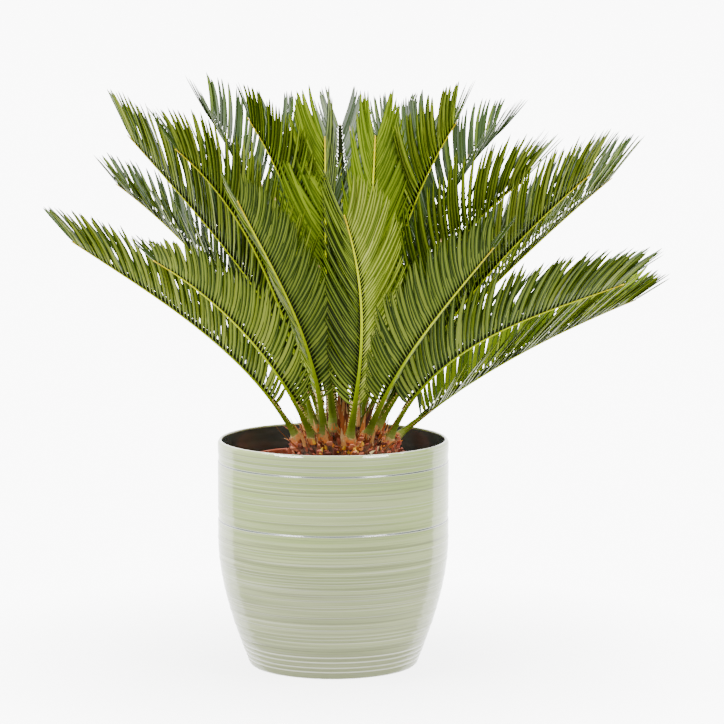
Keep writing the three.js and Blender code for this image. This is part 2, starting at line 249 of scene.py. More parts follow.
class CrownSettings(bpy.types.PropertyGroup):
    """Sizes of the fronds."""

    pitch: length("Leaflet pitch", "Distance between leaflets along the rib", 0.0050)
    width: length("Leaflet width", "Widest width of a leaflet", 0.0056)
    keel: turn("Keel", "How far the leaflets stand up from the blade's plane", 45)
    curve: turn("Curve", "How far a leaflet curves towards the frond's tip", 18)
    lift: turn("Lift", "How far a leaflet curls up along its length", 8)
    louvre: turn("Louvre", "How far a leaflet is turned about its own length", 17)


class StageSettings(bpy.types.PropertyGroup):
    """The floor and the lights."""

    floor: colour("Floor", "Pale floor", 246, 246, 244)
    shadow: amount("Shadow", "Opacity of the floor at the pot", 0.5)
    sky: amount("Sky", "Brightness of the surround", 0.55)
    ground: amount("Ground", "Added brightness below", 0.7)
    back: amount("Back", "Added brightness behind", 1.7)
    gloss: amount("Gloss", "More of it in reflections", 3.0)
    white: amount("White", "Added brightness when seen", 7.0)
    key: amount("Soft boxes", "Power of each soft box", 142, "POWER")


# ---- shader maths ----


class Value:
    """A shader socket in plain arithmetic: each operator adds a Math node."""

    def __init__(self, tree, socket):
        self.tree, self.socket = tree, socket

    def maths(self, operation, *terms):
        node = self.tree.nodes.new("ShaderNodeMath")
        node.operation = operation
        for socket, term in zip(node.inputs, terms):
            if isinstance(term, Value):
                self.tree.links.new(term.socket, socket)
            else:
                socket.default_value = term
        return Value(self.tree, node.outputs[0])

    def __add__(self, other):
        return self.maths("ADD", self, other)

    def __radd__(self, other):
        return self.maths("ADD", other, self)

    def __sub__(self, other):
        return self.maths("SUBTRACT", self, other)

    def __rsub__(self, other):
        return self.maths("SUBTRACT", other, self)

    def __mul__(self, other):
        return self.maths("MULTIPLY", self, other)

    def __rmul__(self, other):
        return self.maths("MULTIPLY", other, self)

    def between(self, low, high):
        """0 below low, 1 above high, and a straight line between."""
        share = (self - low) * (1 / (high - low))
        return share.maths("MINIMUM", share.maths("MAXIMUM", share, 0), 1)


class Shading:
    """Nodes under construction in a node tree."""

    def __init__(self, tree):
        self.tree = tree

    def feed(self, socket, value):
        if isinstance(value, Value):
            self.tree.links.new(value.socket, socket)
        elif isinstance(value, bpy.types.NodeSocket):
            self.tree.links.new(value, socket)
        else:
            socket.default_value = value

    def node(self, kind, sockets, **settings):
        """A node of any kind, with its settings and the values or links of its sockets."""
        node = self.tree.nodes.new(kind)
        for setting, value in settings.items():
            setattr(node, setting, value)
        for socket, value in sockets.items():
            self.feed(node.inputs[socket], value)
        return node

    def axis(self, coordinates, letter):
        """One axis of a texture coordinate."""
        place = self.node("ShaderNodeTexCoord", {}).outputs[coordinates]
        axes = self.node("ShaderNodeSeparateXYZ", {"Vector": place})
        return Value(self.tree, axes.outputs[letter])


class Finish(Shading):
    """A material under construction: a Principled shader and the nodes that feed it."""

    def __init__(self, name, colour, roughness=0.5, sockets=None):
        self.material = bpy.data.materials.new(name)
        self.material.use_nodes = True
        self.material.diffuse_color = (*colour, 1)
        super().__init__(self.material.node_tree)
        self.shader = self.tree.nodes["Principled BSDF"]
        self.set("Base Color", (*colour, 1))
        self.set("Roughness", roughness)
        for socket, value in (sockets or {}).items():
            self.set(socket, value)

    def set(self, socket, value):
        self.feed(self.shader.inputs[socket], value)

    def noise(self, scale, stretch=(1, 1, 1), detail=3.0, roughness=0.5):
        """A noise of about `scale` lumps a metre, more where an axis is stretched."""
        place = self.node("ShaderNodeTexCoord", {}).outputs["Object"]
        where = self.node("ShaderNodeMapping", {"Vector": place, "Scale": stretch})
        sockets = {"Vector": where.outputs[0], "Scale": scale, "Detail": detail}
        noise = self.node("ShaderNodeTexNoise", {**sockets, "Roughness": roughness})
        return Value(self.tree, noise.outputs["Fac"])

    def mix(self, share, low, high):
        """A colour between two, each a plain colour or a socket."""
        sockets = {0: share}
        for number, side in ((6, low), (7, high)):
            plain_colour = not isinstance(side, bpy.types.NodeSocket)
            sockets[number] = (*side, 1) if plain_colour else side
        return self.node("ShaderNodeMix", sockets, data_type="RGBA").outputs[2]

    def bump(self, height, distance, strength=1.0):
        sockets = {"Height": height, "Distance": distance, "Strength": strength}
        self.set("Normal", self.node("ShaderNodeBump", sockets).outputs["Normal"])


def rings(height, places, reach):
    """1 at each of the heights, and 0 further than `reach` from them all."""
    share = 0
    for place in places:
        off = height - place
        near = off.maths("ABSOLUTE", off).between(reach, reach * 0.4)
        share = near.maths("MAXIMUM", near, share)
    return share


def toned(colour, share, more=0):
    """A share of a colour, with more of white."""
    return tuple(value * share + more for value in colour)


# The glaze's noises, from broad streaks to clouds: lumps a metre round the wall and up it, and
# their detail.
GLAZE_NOISES = [(3.2, 62, 3), (4.5, 300, 3), (3.5, 560, 2), (2.5, 640, 1), (9, 14, 2)]
STREAKS_SHOW, LINES_SHOW, THREADS_SHOW = (0.46, 0.62), (0.53, 0.62), (0.58, 0.66)
GREEN_TO_GREY = (0.205, 0.07)  # the heights between which the glaze turns greyer
BORDER_WANDERS = 0.16
FOOT_SHADE = (0.036, 0.030)  # the heights between which the foot turns darker
RIM_WORN = (0.0008, 0.0002)  # below the rim, where its pale glaze starts and is full
DARK_RING_REACH, PALE_RING_REACH = 0.0011, 0.0009
# Where the painted light on each strong ridge's facet is centred above the ridge, and how far it reaches.
FACET_MIDDLE, FACET_REACH = 0.0006, 0.0012


def glaze(pot):
    """Sage green glaze with long brush streaks, greyer towards the foot and pale on the rim; painted light on
    ridge facets.
    """
    coat = {"Coat Weight": 1.0, "Coat Roughness": 0.03, "Specular IOR Level": 0.0}
    finish = Finish("sage_glaze", pot.glaze_high, 0.3, coat)
    height = finish.axis("Object", "Z")
    broad, fine, lines, threads, cloud = (
        finish.noise(1, (around, around, up), detail) for around, up, detail in GLAZE_NOISES
    )
    fade = (height + (cloud - 0.5) * BORDER_WANDERS).between(*GREEN_TO_GREY)
    streaks = (broad * 0.3 + fine * 0.7 + fade * 0.02).between(*STREAKS_SHOW)
    dark = rings(height, DARK_RINGS, DARK_RING_REACH) * 0.6
    dark = dark.maths("MAXIMUM", dark, height.between(*FOOT_SHADE) * 0.4)
    # Painted light: the upward facets of the strong ridges are painted near-white against the shade that the crown
    # casts on them.
    lit_facets = rings(height, [ridge + FACET_MIDDLE for ridge in STRONG_RIDGES], FACET_REACH)
    layers = [
        (fade, pot.glaze_low),
        (streaks * 0.5, pot.glaze_streak),
        (lines.between(*LINES_SHOW) * 0.5, pot.glaze_line),
        (threads.between(*THREADS_SHOW) * 0.35, pot.glaze_rim),
        (dark, pot.glaze_line),
        (lit_facets, pot.ridge_light),
        (rings(height, PALE_RINGS, PALE_RING_REACH), pot.glaze_rim),
        (height.between(*(pot.height - below for below in RIM_WORN)), pot.glaze_rim),
    ]
    ground = pot.glaze_high
    for share, shade in layers:
        ground = finish.mix(share, ground, shade)
    finish.set("Base Color", ground)
    finish.set("Roughness", 0.24 + streaks * 0.12)
    finish.bump(fine * 0.6 + lines * 0.4, 0.0012, 0.4)
    return finish.material


def dark_glaze(pot):
    """Thin dark glaze, slightly cloudy, inside the cover pot."""
    finish = Finish("dark_glaze", pot.inside, 0.22, {"Coat Weight": 0.4, "Coat Roughness": 0.1})
    cloud = finish.noise(1, (12, 12, 60), 3)
    light = toned(pot.inside, 1.7)
    finish.set("Base Color", finish.mix(cloud.between(0.4, 0.7), pot.inside, light))
    finish.bump(cloud, 0.0008, 0.3)
    return finish.material


def plastic(pot):
    """Thin moulded plastic, slightly chalky."""
    finish = Finish("nursery_plastic", pot.plastic, 0.5)
    dust = finish.noise(90, detail=5)
    chalky = dust.between(0.5, 0.8) * 0.6
    finish.set("Base Color", finish.mix(chalky, pot.plastic, toned(pot.plastic, 0.6, 0.16)))
    finish.set("Roughness", 0.42 + dust * 0.25)
    finish.bump(finish.noise(900, detail=2), 0.0002, 0.4)
    return finish.material


def potting_mix(pot):
    """Damp peat with lighter crumbs."""
    finish = Finish("potting_mix", pot.mix, 0.95)
    lumps = finish.noise(160, detail=6, roughness=0.7)
    dark, light = toned(pot.mix, 0.45), toned(pot.mix, 1.9)
    finish.set("Base Color", finish.mix(lumps.between(0.35, 0.68), dark, light))
    finish.bump(lumps, 0.003, 0.9)
    return finish.material


def fibrous_bark():
    """Brown bark under the leaf bases, with upright fibres."""
    dark, light = paint(38, 22, 12), paint(130, 78, 44)
    finish = Finish("fibrous_bark", dark, 0.9)
    fibres = finish.noise(1, (420, 420, 90), 5, 0.7)
    patches = finish.noise(70, detail=3)
    share = (fibres * 0.7 + patches * 0.3).between(0.38, 0.66)
    finish.set("Base Color", finish.mix(share, dark, light))
    finish.bump(fibres, 0.002, 0.9)
    return finish.material


def plain(name, shade, roughness, specular=0.5):
    """A finish of one colour, which is dealt out among many small pieces of slightly other tone."""
    return Finish(name, paint(*shade), roughness, {"Specular IOR Level": specular}).material


def plains(name, shades, roughness, specular=0.5):
    """A numbered finish for each colour."""
    return [plain(f"{name}_{i}", shade, roughness, specular) for i, shade in enumerate(shades)]


# ---- modelling ----


def deselect():
    bpy.ops.object.select_all(action="DESELECT")


def activate(piece):
    deselect()
    piece.select_set(True)
    bpy.context.view_layer.objects.active = piece


def turned(name, profile, steps):
    """A closed solid turned about the z axis. The profile runs as (radius, height) from the axis
    round the section's outside and back to the axis."""
    deselect()
    bpy.ops.mesh.primitive_plane_add(size=MM, location=(0, 0, 0))
    piece = bpy.context.object
    piece.name = piece.data.name = name
    activate(piece)
    bpy.ops.object.mode_set(mode="EDIT")
    bpy.ops.mesh.select_all(action="SELECT")
    bpy.ops.mesh.merge(type="CENTER")
    bpy.ops.transform.translate(value=(profile[0][0], 0, profile[0][1]))
    for (radius, height), (next_radius, next_height) in zip(profile, profile[1:]):
        step = (next_radius - radius, 0, next_height - height)
        bpy.ops.mesh.extrude_region_move(TRANSFORM_OT_translate={"value": step})
    bpy.ops.mesh.select_all(action="SELECT")
    bpy.ops.mesh.spin(steps=steps, angle=math.tau, center=(0, 0, 0), axis=(0, 0, 1))
    bpy.ops.mesh.select_all(action="SELECT")
    bpy.ops.mesh.remove_doubles(threshold=0.02 * MM)
    bpy.ops.mesh.normals_make_consistent(inside=False)
    bpy.ops.object.mode_set(mode="OBJECT")
    return piece


def smooth(piece, angle):
    activate(piece)
    bpy.ops.object.shade_smooth_by_angle(angle=math.radians(angle))


def roughen(piece, lumps, group=""):
    """Lumps, each kind of about a size and standing so far proud, applied to the mesh."""
    for size, proud in lumps:
        texture = bpy.data.textures.new(piece.name + "_lumps", "CLOUDS")
        texture.noise_scale = size
        texture.noise_depth = 3
        activate(piece)
        bpy.ops.object.modifier_add(type="DISPLACE")
        relief = piece.modifiers[-1]
        relief.texture = texture
        relief.texture_coords = "LOCAL"
        relief.strength = proud
        relief.mid_level = 0.5
        relief.vertex_group = group
        bpy.ops.object.modifier_apply(modifier=relief.name)


def settle(piece, slot, *nodes):
    """Rides the piece on the plant and hides the nodes it stands for."""
    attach(piece, BODY)
    if nodes:
        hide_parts(*nodes)


def dress(piece, finishes, angle, slot, node, choose=lambda middle, normal: 0):
    """Gives each face the finish whose number `choose` returns for its middle and normal, and
    puts the smoothed piece in its node's place."""
    for finish in finishes:
        piece.data.materials.append(finish)
    for face in piece.data.polygons:
        face.material_index = choose(face.center, face.normal)
    smooth(piece, angle)
    settle(piece, slot, node)


def loft(around, rings, pointed):
    """Faces over rings of points that run clockwise seen from the far end: a cap at the near
    end, and a point or a cap at the far one."""
    faces = [tuple(range(around))]
    for ring in range(rings - 1):
        for k in range(around):
            a, b = ring * around + k, ring * around + (k + 1) % around
            faces.append((a, a + around, b + around, b))
    last = (rings - 1) * around
    if pointed:
        tip = rings * around
        faces += [(last + k, tip, last + (k + 1) % around) for k in range(around)]
    else:
        faces.append(tuple(last + k for k in reversed(range(around))))
    return faces


class Heap:
    """Many small loose shapes, gathered for one mesh with a finish number for each face."""

    def __init__(self):
        self.points, self.faces, self.shades, self.count = [], [], [], 0

    def add(self, points, faces, shades):
        """Adds a shape. `shades` is one finish number for all its faces, or a list of them."""
        points = np.asarray(points).reshape(-1, 3)
        self.points.append(points)
        self.faces += [tuple(corner + self.count for corner in face) for face in faces]
        self.shades += shades if isinstance(shades, list) else [shades] * len(faces)
        self.count += len(points)

    def settle(self, name, finishes, angle, slot, *nodes):
        """Makes the mesh, smooths it up to an angle and settles it."""
        mesh = bpy.data.meshes.new(name)
        mesh.from_pydata(np.vstack(self.points), [], self.faces)
        for finish in finishes:
            mesh.materials.append(finish)
        mesh.polygons.foreach_set("material_index", self.shades)
        mesh.update()
        piece = bpy.data.objects.new(name, mesh)
        bpy.context.collection.objects.link(piece)
        smooth(piece, angle)
        settle(piece, slot, *nodes)


def unit(vector):
    return vector / np.linalg.norm(vector)


def compass(turn):
    """The level unit vector at a turn about the z axis."""
    return np.array([math.cos(turn), math.sin(turn), 0])


def leaning(out, lean):
    """A unit vector that leans from straight up towards `out`, by an angle in radians."""
    return out * math.sin(lean) + UP * math.cos(lean)


def across(way, towards):
    """A unit vector square to `way` that leans `towards`, and a third square to both."""
    lean = unit(towards - way * (towards @ way))
    return lean, np.cross(way, lean)


def ellipse(middle, half, other_half, around):
    """Points round an ellipse, from one half axis towards the other."""
    spots = math.tau * np.arange(around)[:, None] / around
    return middle + half * np.cos(spots) + other_half * np.sin(spots)


def spin_matrix(axis, angle):
    """The rotation about an axis."""
    x, y, z = np.asarray(axis, float) / np.linalg.norm(axis)
    skew = np.array([[0, -z, y], [z, 0, -x], [-y, x, 0]])
    return np.eye(3) + math.sin(angle) * skew + (1 - math.cos(angle)) * skew @ skew


SEEDS = {
    "bark_chips": 41, "old_leaf_bases": 7, "stalk_collars": 23, "scale_leaves": 101,
    "trunk_fibres": 59, "torn_chips": 67, "ribs": 300, "leaflets": 500,
}


def seeded(name, more=0):
    """Random numbers for a piece, the same in each run."""
    return np.random.default_rng(SEEDS[name] + more)


def pick(draw, count, odds=None):
    """The number of one of `count` things, drawn with these odds or with even ones."""
    return int(draw.choice(count, p=odds))


# ---- cover pot ----

FOOT_SLOPE = 0.4
POT_EDGE = 0.002
POT_STEPS = 144
# The rim's section in millimetres inwards and below its top, with a bevel that catches the light.
RIM_PROFILE = [
    (0, 3.0), (0.05, 2.85), (0.25, 2.5), (0.5, 2.1), (1.1, 1.15), (1.4, 0.7), (1.75, 0.3),
    (2.2, 0.08), (2.8, 0), (3.4, 0.12), (3.9, 0.5), (4.15, 1.1), (4.2, 2.0),
]
RIM_DEPTH = 0.005  # from the rim's shoulder down to the first ring inside
DARK_CLIMB = 0.003  # how far above the brim's level the dark glaze climbs inside
POT_RING = 0.0008  # height between the rings of the wall
INSIDE_RINGS = 30
# The heights on the wall, in metres, of its grooves and ridges and of its pale and dark rings.
FOOT_GROOVES = [0.0079, 0.0130, 0.0192, 0.0248, 0.0321]
THROWN_RIDGES = [0.046, 0.061, 0.083, 0.098, 0.117, 0.139, 0.171, 0.190, 0.214]
STRONG_RIDGES = [0.1586, 0.2213]
PALE_RINGS = FOOT_GROOVES[:4]
DARK_RINGS = [0.0060, 0.0110, 0.0170, 0.0228, 0.0321, 0.0346, 0.1250, 0.1440, 0.2020]
WALL_SET_BACK = 0.0009  # of the whole wall, so that its ridges stay within the pot's radius
GROOVE_DEPTH, GROOVE_REACH = 0.0008, 0.0011
RIDGE_HEIGHT, RIDGE_REACH = 0.00022, 0.0013
# A strong ridge in millimetres: how far above its lower edge, and how far set back there. Its
# corners get rings of their own, and the usual rings near it make way.
STRONG_RIDGE = [(0, 0), (1.2, 0.78), (14, 0)]
STRONG_RIDGE_RINGS = [-0.1, 0, 0.12, 1.08, 1.2, 1.3]
STRONG_RIDGE_ROOM = (-0.4, 1.6)
RIPPLE, RIPPLE_WAVES = 0.00012, (640, 173)  # its height, and two waves in radians a metre


def wall_radius(pot, height, inset=0.0):
    """The wall's radius at a height: a cubic curve from the foot, then straight."""
    t = min(height / pot.straight_from, 1)
    foot, top = pot.foot_radius - inset, pot.radius - inset
    pulled = foot + FOOT_SLOPE * pot.straight_from / 3
    curve = foot * (1 - t) ** 3 + 3 * pulled * t * (1 - t) ** 2
    return curve + 3 * top * t * t * (1 - t) + top * t**3


def thrown(height):
    """How far the throwing marks set the outer wall back at a height."""
    back = WALL_SET_BACK
    for groove in FOOT_GROOVES:
        back += GROOVE_DEPTH * math.exp(-(((height - groove) / GROOVE_REACH) ** 2))
    for ridge in THROWN_RIDGES:
        back -= RIDGE_HEIGHT * math.exp(-(((height - ridge) / RIDGE_REACH) ** 2))
    for ridge in STRONG_RIDGES:
        back += stops(STRONG_RIDGE, (height - ridge) / MM) * MM
    long_wave, short_wave = (math.sin(height * waves) for waves in RIPPLE_WAVES)
    return back + RIPPLE * long_wave * short_wave


def cover_pot_profile(pot):
    """The cover pot's section: the underside, up the wall, over the rim and down the inside."""
    shoulder = pot.height - RIM_PROFILE[0][1] * MM
    count = int((shoulder - POT_EDGE) / POT_RING)
    heights = [POT_EDGE + (shoulder - POT_EDGE) * ring / count for ring in range(count)]
    low, high = STRONG_RIDGE_ROOM
    for ridge in STRONG_RIDGES:
        heights = [height for height in heights if not low < (height - ridge) / MM < high]
        heights += [ridge + above * MM for above in STRONG_RIDGE_RINGS]
    heights.sort()
    outside = [(0, 0), (pot.foot_radius - POT_EDGE, 0)]
    outside += [(wall_radius(pot, height) - thrown(height), height) for height in heights]
    edge = wall_radius(pot, shoulder) - thrown(shoulder)
    rim = [(edge - inwards * MM, pot.height - below * MM) for inwards, below in RIM_PROFILE]
    down = np.linspace(shoulder - RIM_DEPTH, pot.floor + POT_EDGE, INSIDE_RINGS)
    inside = [(wall_radius(pot, height, pot.wall), height) for height in down]
    inside += [(inside[-1][0] - POT_EDGE, pot.floor), (0, pot.floor)]
    return outside + rim + inside


class PALM_OT_cover_pot(bpy.types.Operator):
    """Turn the glazed cover pot"""

    bl_idname = "palm.cover_pot"
    bl_label = "Cover pot"

    def execute(self, context):
        pot = context.scene.palm_pot
        piece = turned("glazed_cover_pot", cover_pot_profile(pot), POT_STEPS)
        brim = pot.height - pot.wall

        def choose(middle, normal):
            inwards = middle.x * normal.x + middle.y * normal.y < 0
            floor = normal.z > 0.5 and middle.z < brim
            return 1 if floor or (inwards and middle.z < brim + DARK_CLIMB) else 0

        dress(piece, [glaze(pot), dark_glaze(pot)], 50, "glaze", "cover_pot", choose)
        return {"FINISHED"}


# ---- nursery pot and potting mix ----

NURSERY_FOOT = 0.076
NURSERY_WALL = 0.0016
NURSERY_LIP = 0.002
NURSERY_LIP_HEIGHT = 0.012
NURSERY_EDGE, LIP_EDGE = 0.001, 0.0008
LIP_STEPS = 8
TURNED_STEPS = 96
MIX_GAP = 0.0003  # between the mix and the nursery pot's wall, at its foot
MIX_RINGS = 34
MIX_LUMPS = [(0.012, 0.006), (0.004, 0.003)]  # their size, and how far they stand proud
CHIPS = 420
CHIP_RING = (0.3, 0.92)  # the shares of the mix's area between which they lie
CHIP_SIZE = (0.0015, 0.0055)
CHIP_WIDTH, CHIP_THICK, CHIP_UNEVEN = (0.35, 0.8), (0.15, 0.4), 0.12  # shares of its size
CHIP_TILT, CHIP_RAISED = 1.0, 0.2
CHIP_SHADES = [(70, 44, 32), (112, 70, 48), (150, 104, 72), (196, 170, 134)]
CHIP_ODDS = [0.4, 0.3, 0.2, 0.1]
CUBE_FACES = [(0, 3, 2, 1), (4, 5, 6, 7), (0, 1, 5, 4), (1, 2, 6, 5), (2, 3, 7, 6), (3, 0, 4, 7)]


def cuboid(x, y, z):
    """The corners of a box about the origin, in the order that CUBE_FACES reads."""
    square = [(-1, -1), (1, -1), (1, 1), (-1, 1)]
    return np.array([(a * x, b * y, c * z) for c in (-1, 1) for a, b in square]) / 2


def nursery_profile():
    """The nursery pot's section, with a rounded lip that stands out from its wall."""
    low, high = NURSERY_LOW.z, NURSERY_HIGH.z
    radius = NURSERY_HIGH.x - NURSERY_LIP
    below = high - NURSERY_LIP_HEIGHT
    lip = (NURSERY_LIP + NURSERY_WALL) / 2
    turns = [math.pi * step / LIP_STEPS for step in range(LIP_STEPS + 1)]
    middle = radius + NURSERY_LIP - lip
    top = [(middle + lip * math.cos(t), high - lip + lip * math.sin(t)) for t in turns]
    outside = [(0, low), (NURSERY_FOOT - NURSERY_EDGE, low), (NURSERY_FOOT, low + NURSERY_EDGE)]
    outside += [(radius, below), (radius + NURSERY_LIP, below + LIP_EDGE)]
    inside = [(radius - NURSERY_WALL, below), (NURSERY_FOOT - NURSERY_WALL, low + NURSERY_WALL)]
    return outside + top + inside + [(0, low + NURSERY_WALL)]


class PALM_OT_nursery_pot(bpy.types.Operator):
    """Turn the brown nursery pot that stands inside the cover pot"""

    bl_idname = "palm.nursery_pot"
    bl_label = "Nursery pot"

    def execute(self, context):
        piece = turned("brown_nursery_pot", nursery_profile(), TURNED_STEPS)
        finish = plastic(context.scene.palm_pot)
        dress(piece, [finish], 35, "nursery_plastic", "nursery_pot")
        return {"FINISHED"}


class PALM_OT_potting_mix(bpy.types.Operator):
    """Fill the nursery pot with lumpy potting mix and bark chips"""

    bl_idname = "palm.potting_mix"
    bl_label = "Potting mix"

    def execute(self, context):
        low, high = SOIL_LOW.z, SOIL_HIGH.z
        radius = SOIL_HIGH.x
        foot = NURSERY_FOOT - NURSERY_WALL - MIX_GAP
        shoulder = NURSERY_HIGH.z - NURSERY_LIP_HEIGHT
        top = [(r, high - MM) for r in np.linspace(radius - MM, 0, MIX_RINGS)]
        profile = [(0, low), (foot, low), (radius, shoulder), (radius, high - 2 * MM)] + top
        piece = turned("potting_mix", profile, TURNED_STEPS)
        upper = [v.index for v in piece.data.vertices if v.co.z > high - 1.5 * MM]
        piece.vertex_groups.new(name="top").add(upper, 1, "REPLACE")
        roughen(piece, MIX_LUMPS, "top")
        dress(piece, [potting_mix(context.scene.palm_pot)], 60, "potting_soil", "soil")
        self.chips(high, radius)
        return {"FINISHED"}

    def chips(self, high, radius):
        """Flakes of bark and root on the mix."""
        draw, heap = seeded("bark_chips"), Heap()
        for _ in range(CHIPS):
            turn, reach = draw.uniform(0, math.tau), radius * math.sqrt(draw.uniform(*CHIP_RING))
            size = draw.uniform(*CHIP_SIZE)
            flake = cuboid(size, size * draw.uniform(*CHIP_WIDTH), size * draw.uniform(*CHIP_THICK))
            flake += draw.normal(0, size * CHIP_UNEVEN, flake.shape)
            spun = flake @ spin_matrix(draw.normal(0, 1, 3), draw.uniform(0, CHIP_TILT)).T
            spun = spun @ spin_matrix(UP, draw.uniform(0, math.tau)).T
            place = compass(turn) * reach + UP * (high + size * CHIP_RAISED)
            heap.add(spun + place, CUBE_FACES, pick(draw, 4, CHIP_ODDS))
        finishes = plains("bark_chip", CHIP_SHADES, 0.9)
        heap.settle("bark_chips", finishes, 30, "potting_soil")


# ---- trunk ----

BLADE_SECTION = [
    (-1, -0.1), (-0.5, 0.12), (0, 0.2), (0.5, 0.12), (1, -0.1), (0.5, -0.1), (-0.5, -0.1),
]
SCALE_WIDTH = [(0, 0.9), (0.15, 1), (0.45, 0.72), (0.75, 0.34), (0.92, 0.14), (1, 0.05)]
SCALE_SEGMENTS = 7
BLADE_TWIST = 0.35
BLADE_FACES = loft(len(BLADE_SECTION), SCALE_SEGMENTS, True)
CORE_RINGS = 60
TRUNK_LUMPS = [(0.009, 0.005), (0.003, 0.0022)]  # their size, and how far they stand proud
# Each ring of old leaf bases: its height and count, and its radius, in millimetres.
LEAF_BASE_ROWS = [
    (3, 40, 55.5), (8, 40, 57), (13, 40, 57.5), (18, 40, 57.5), (23, 40, 56.8), (28, 38, 54.5),
    (32, 34, 51), (36, 28, 46), (39.5, 22, 41),
]
BASE_SPREAD, BASE_RISE, BASE_WANDER = 0.15, (35, 68), 1.2  # steps, degrees and millimetres
BASE_SIZE, BASE_HALF_WIDTH = (0.003, 0.009), (0.0016, 0.0040)
BASE_FLATNESS, BASE_LUMPS = (0.22, 0.5), 0.0004
LEAF_BASE_SHADES = [(194, 102, 78), (166, 86, 56), (222, 140, 100), (118, 60, 42)]
LEAF_BASE_ODDS = [0.35, 0.25, 0.2, 0.2]
LEAF_BASE_CUT, CUT_SHARE = (216, 150, 96), 0.12
# The rings of a leaf base, and of a collar: how far out or up each is, and how wide.
STUB_RINGS, STUB_AROUND = [(-0.5, 1.25), (0.3, 1.1), (0.75, 0.95), (1, 0.72)], 8
COLLAR_RINGS = [(-0.014, 2.3), (-0.004, 2.1), (0.25, 1.95), (0.6, 1.75), (1, 1.55)]
COLLAR_AROUND = 14
COLLAR_SMALLEST, COLLAR_GROWTH = 0.55, 100  # full size comes with the stalk's ring on the trunk
COLLAR_TOP, COLLAR_RAGGED, COLLAR_LUMPS = (0.005, 0.009), 0.0011, 0.00035
COLLAR_ODDS = [0.6, 0.4]  # of a face taking its own band's shade or the next one's
COLLAR_HALF_WIDTH, COLLAR_HALF_HEIGHT = 4.5 * MM, 4.0 * MM
COLLAR_SHADES = [(150, 74, 46), (198, 98, 44), (226, 130, 50), (204, 134, 66), (172, 142, 82)]


def curved_blade(root, way, towards, length, half_width, curl, draw, thick=1.0):
    """The points of a pointed scale leaf that starts along `way` and curls `towards` a side."""
    out, _ = across(way, towards)
    side, _ = across(way, np.cross(way, out))
    blade, point = [], np.array(root, float)
    twist = draw.normal(0, BLADE_TWIST)
    for place in np.linspace(0, 1, SCALE_SEGMENTS + 1)[:-1]:
        turn = curl * place * place
        ahead = way * math.cos(turn) + out * math.sin(turn)
        face = out * math.cos(turn) - way * math.sin(turn)
        spun = side * math.cos(twist * place) + face * math.sin(twist * place)
        face = np.cross(ahead, spun) * (1 if np.cross(ahead, spun) @ face > 0 else -1)
        half = half_width * stops(SCALE_WIDTH, place)
        edge = spun if np.cross(spun, face) @ ahead > 0 else -spun
        blade += [point + half * (x * edge + y * thick * face) for x, y in BLADE_SECTION]
        point = point + ahead * length / SCALE_SEGMENTS
    return np.vstack([*blade, point])


def by_trunk(out, ring, height):
    """The point at a radius, in the direction `out`, and at a height from the trunk's foot."""
    return CROWN * MM + out * ring * MM + UP * height * MM


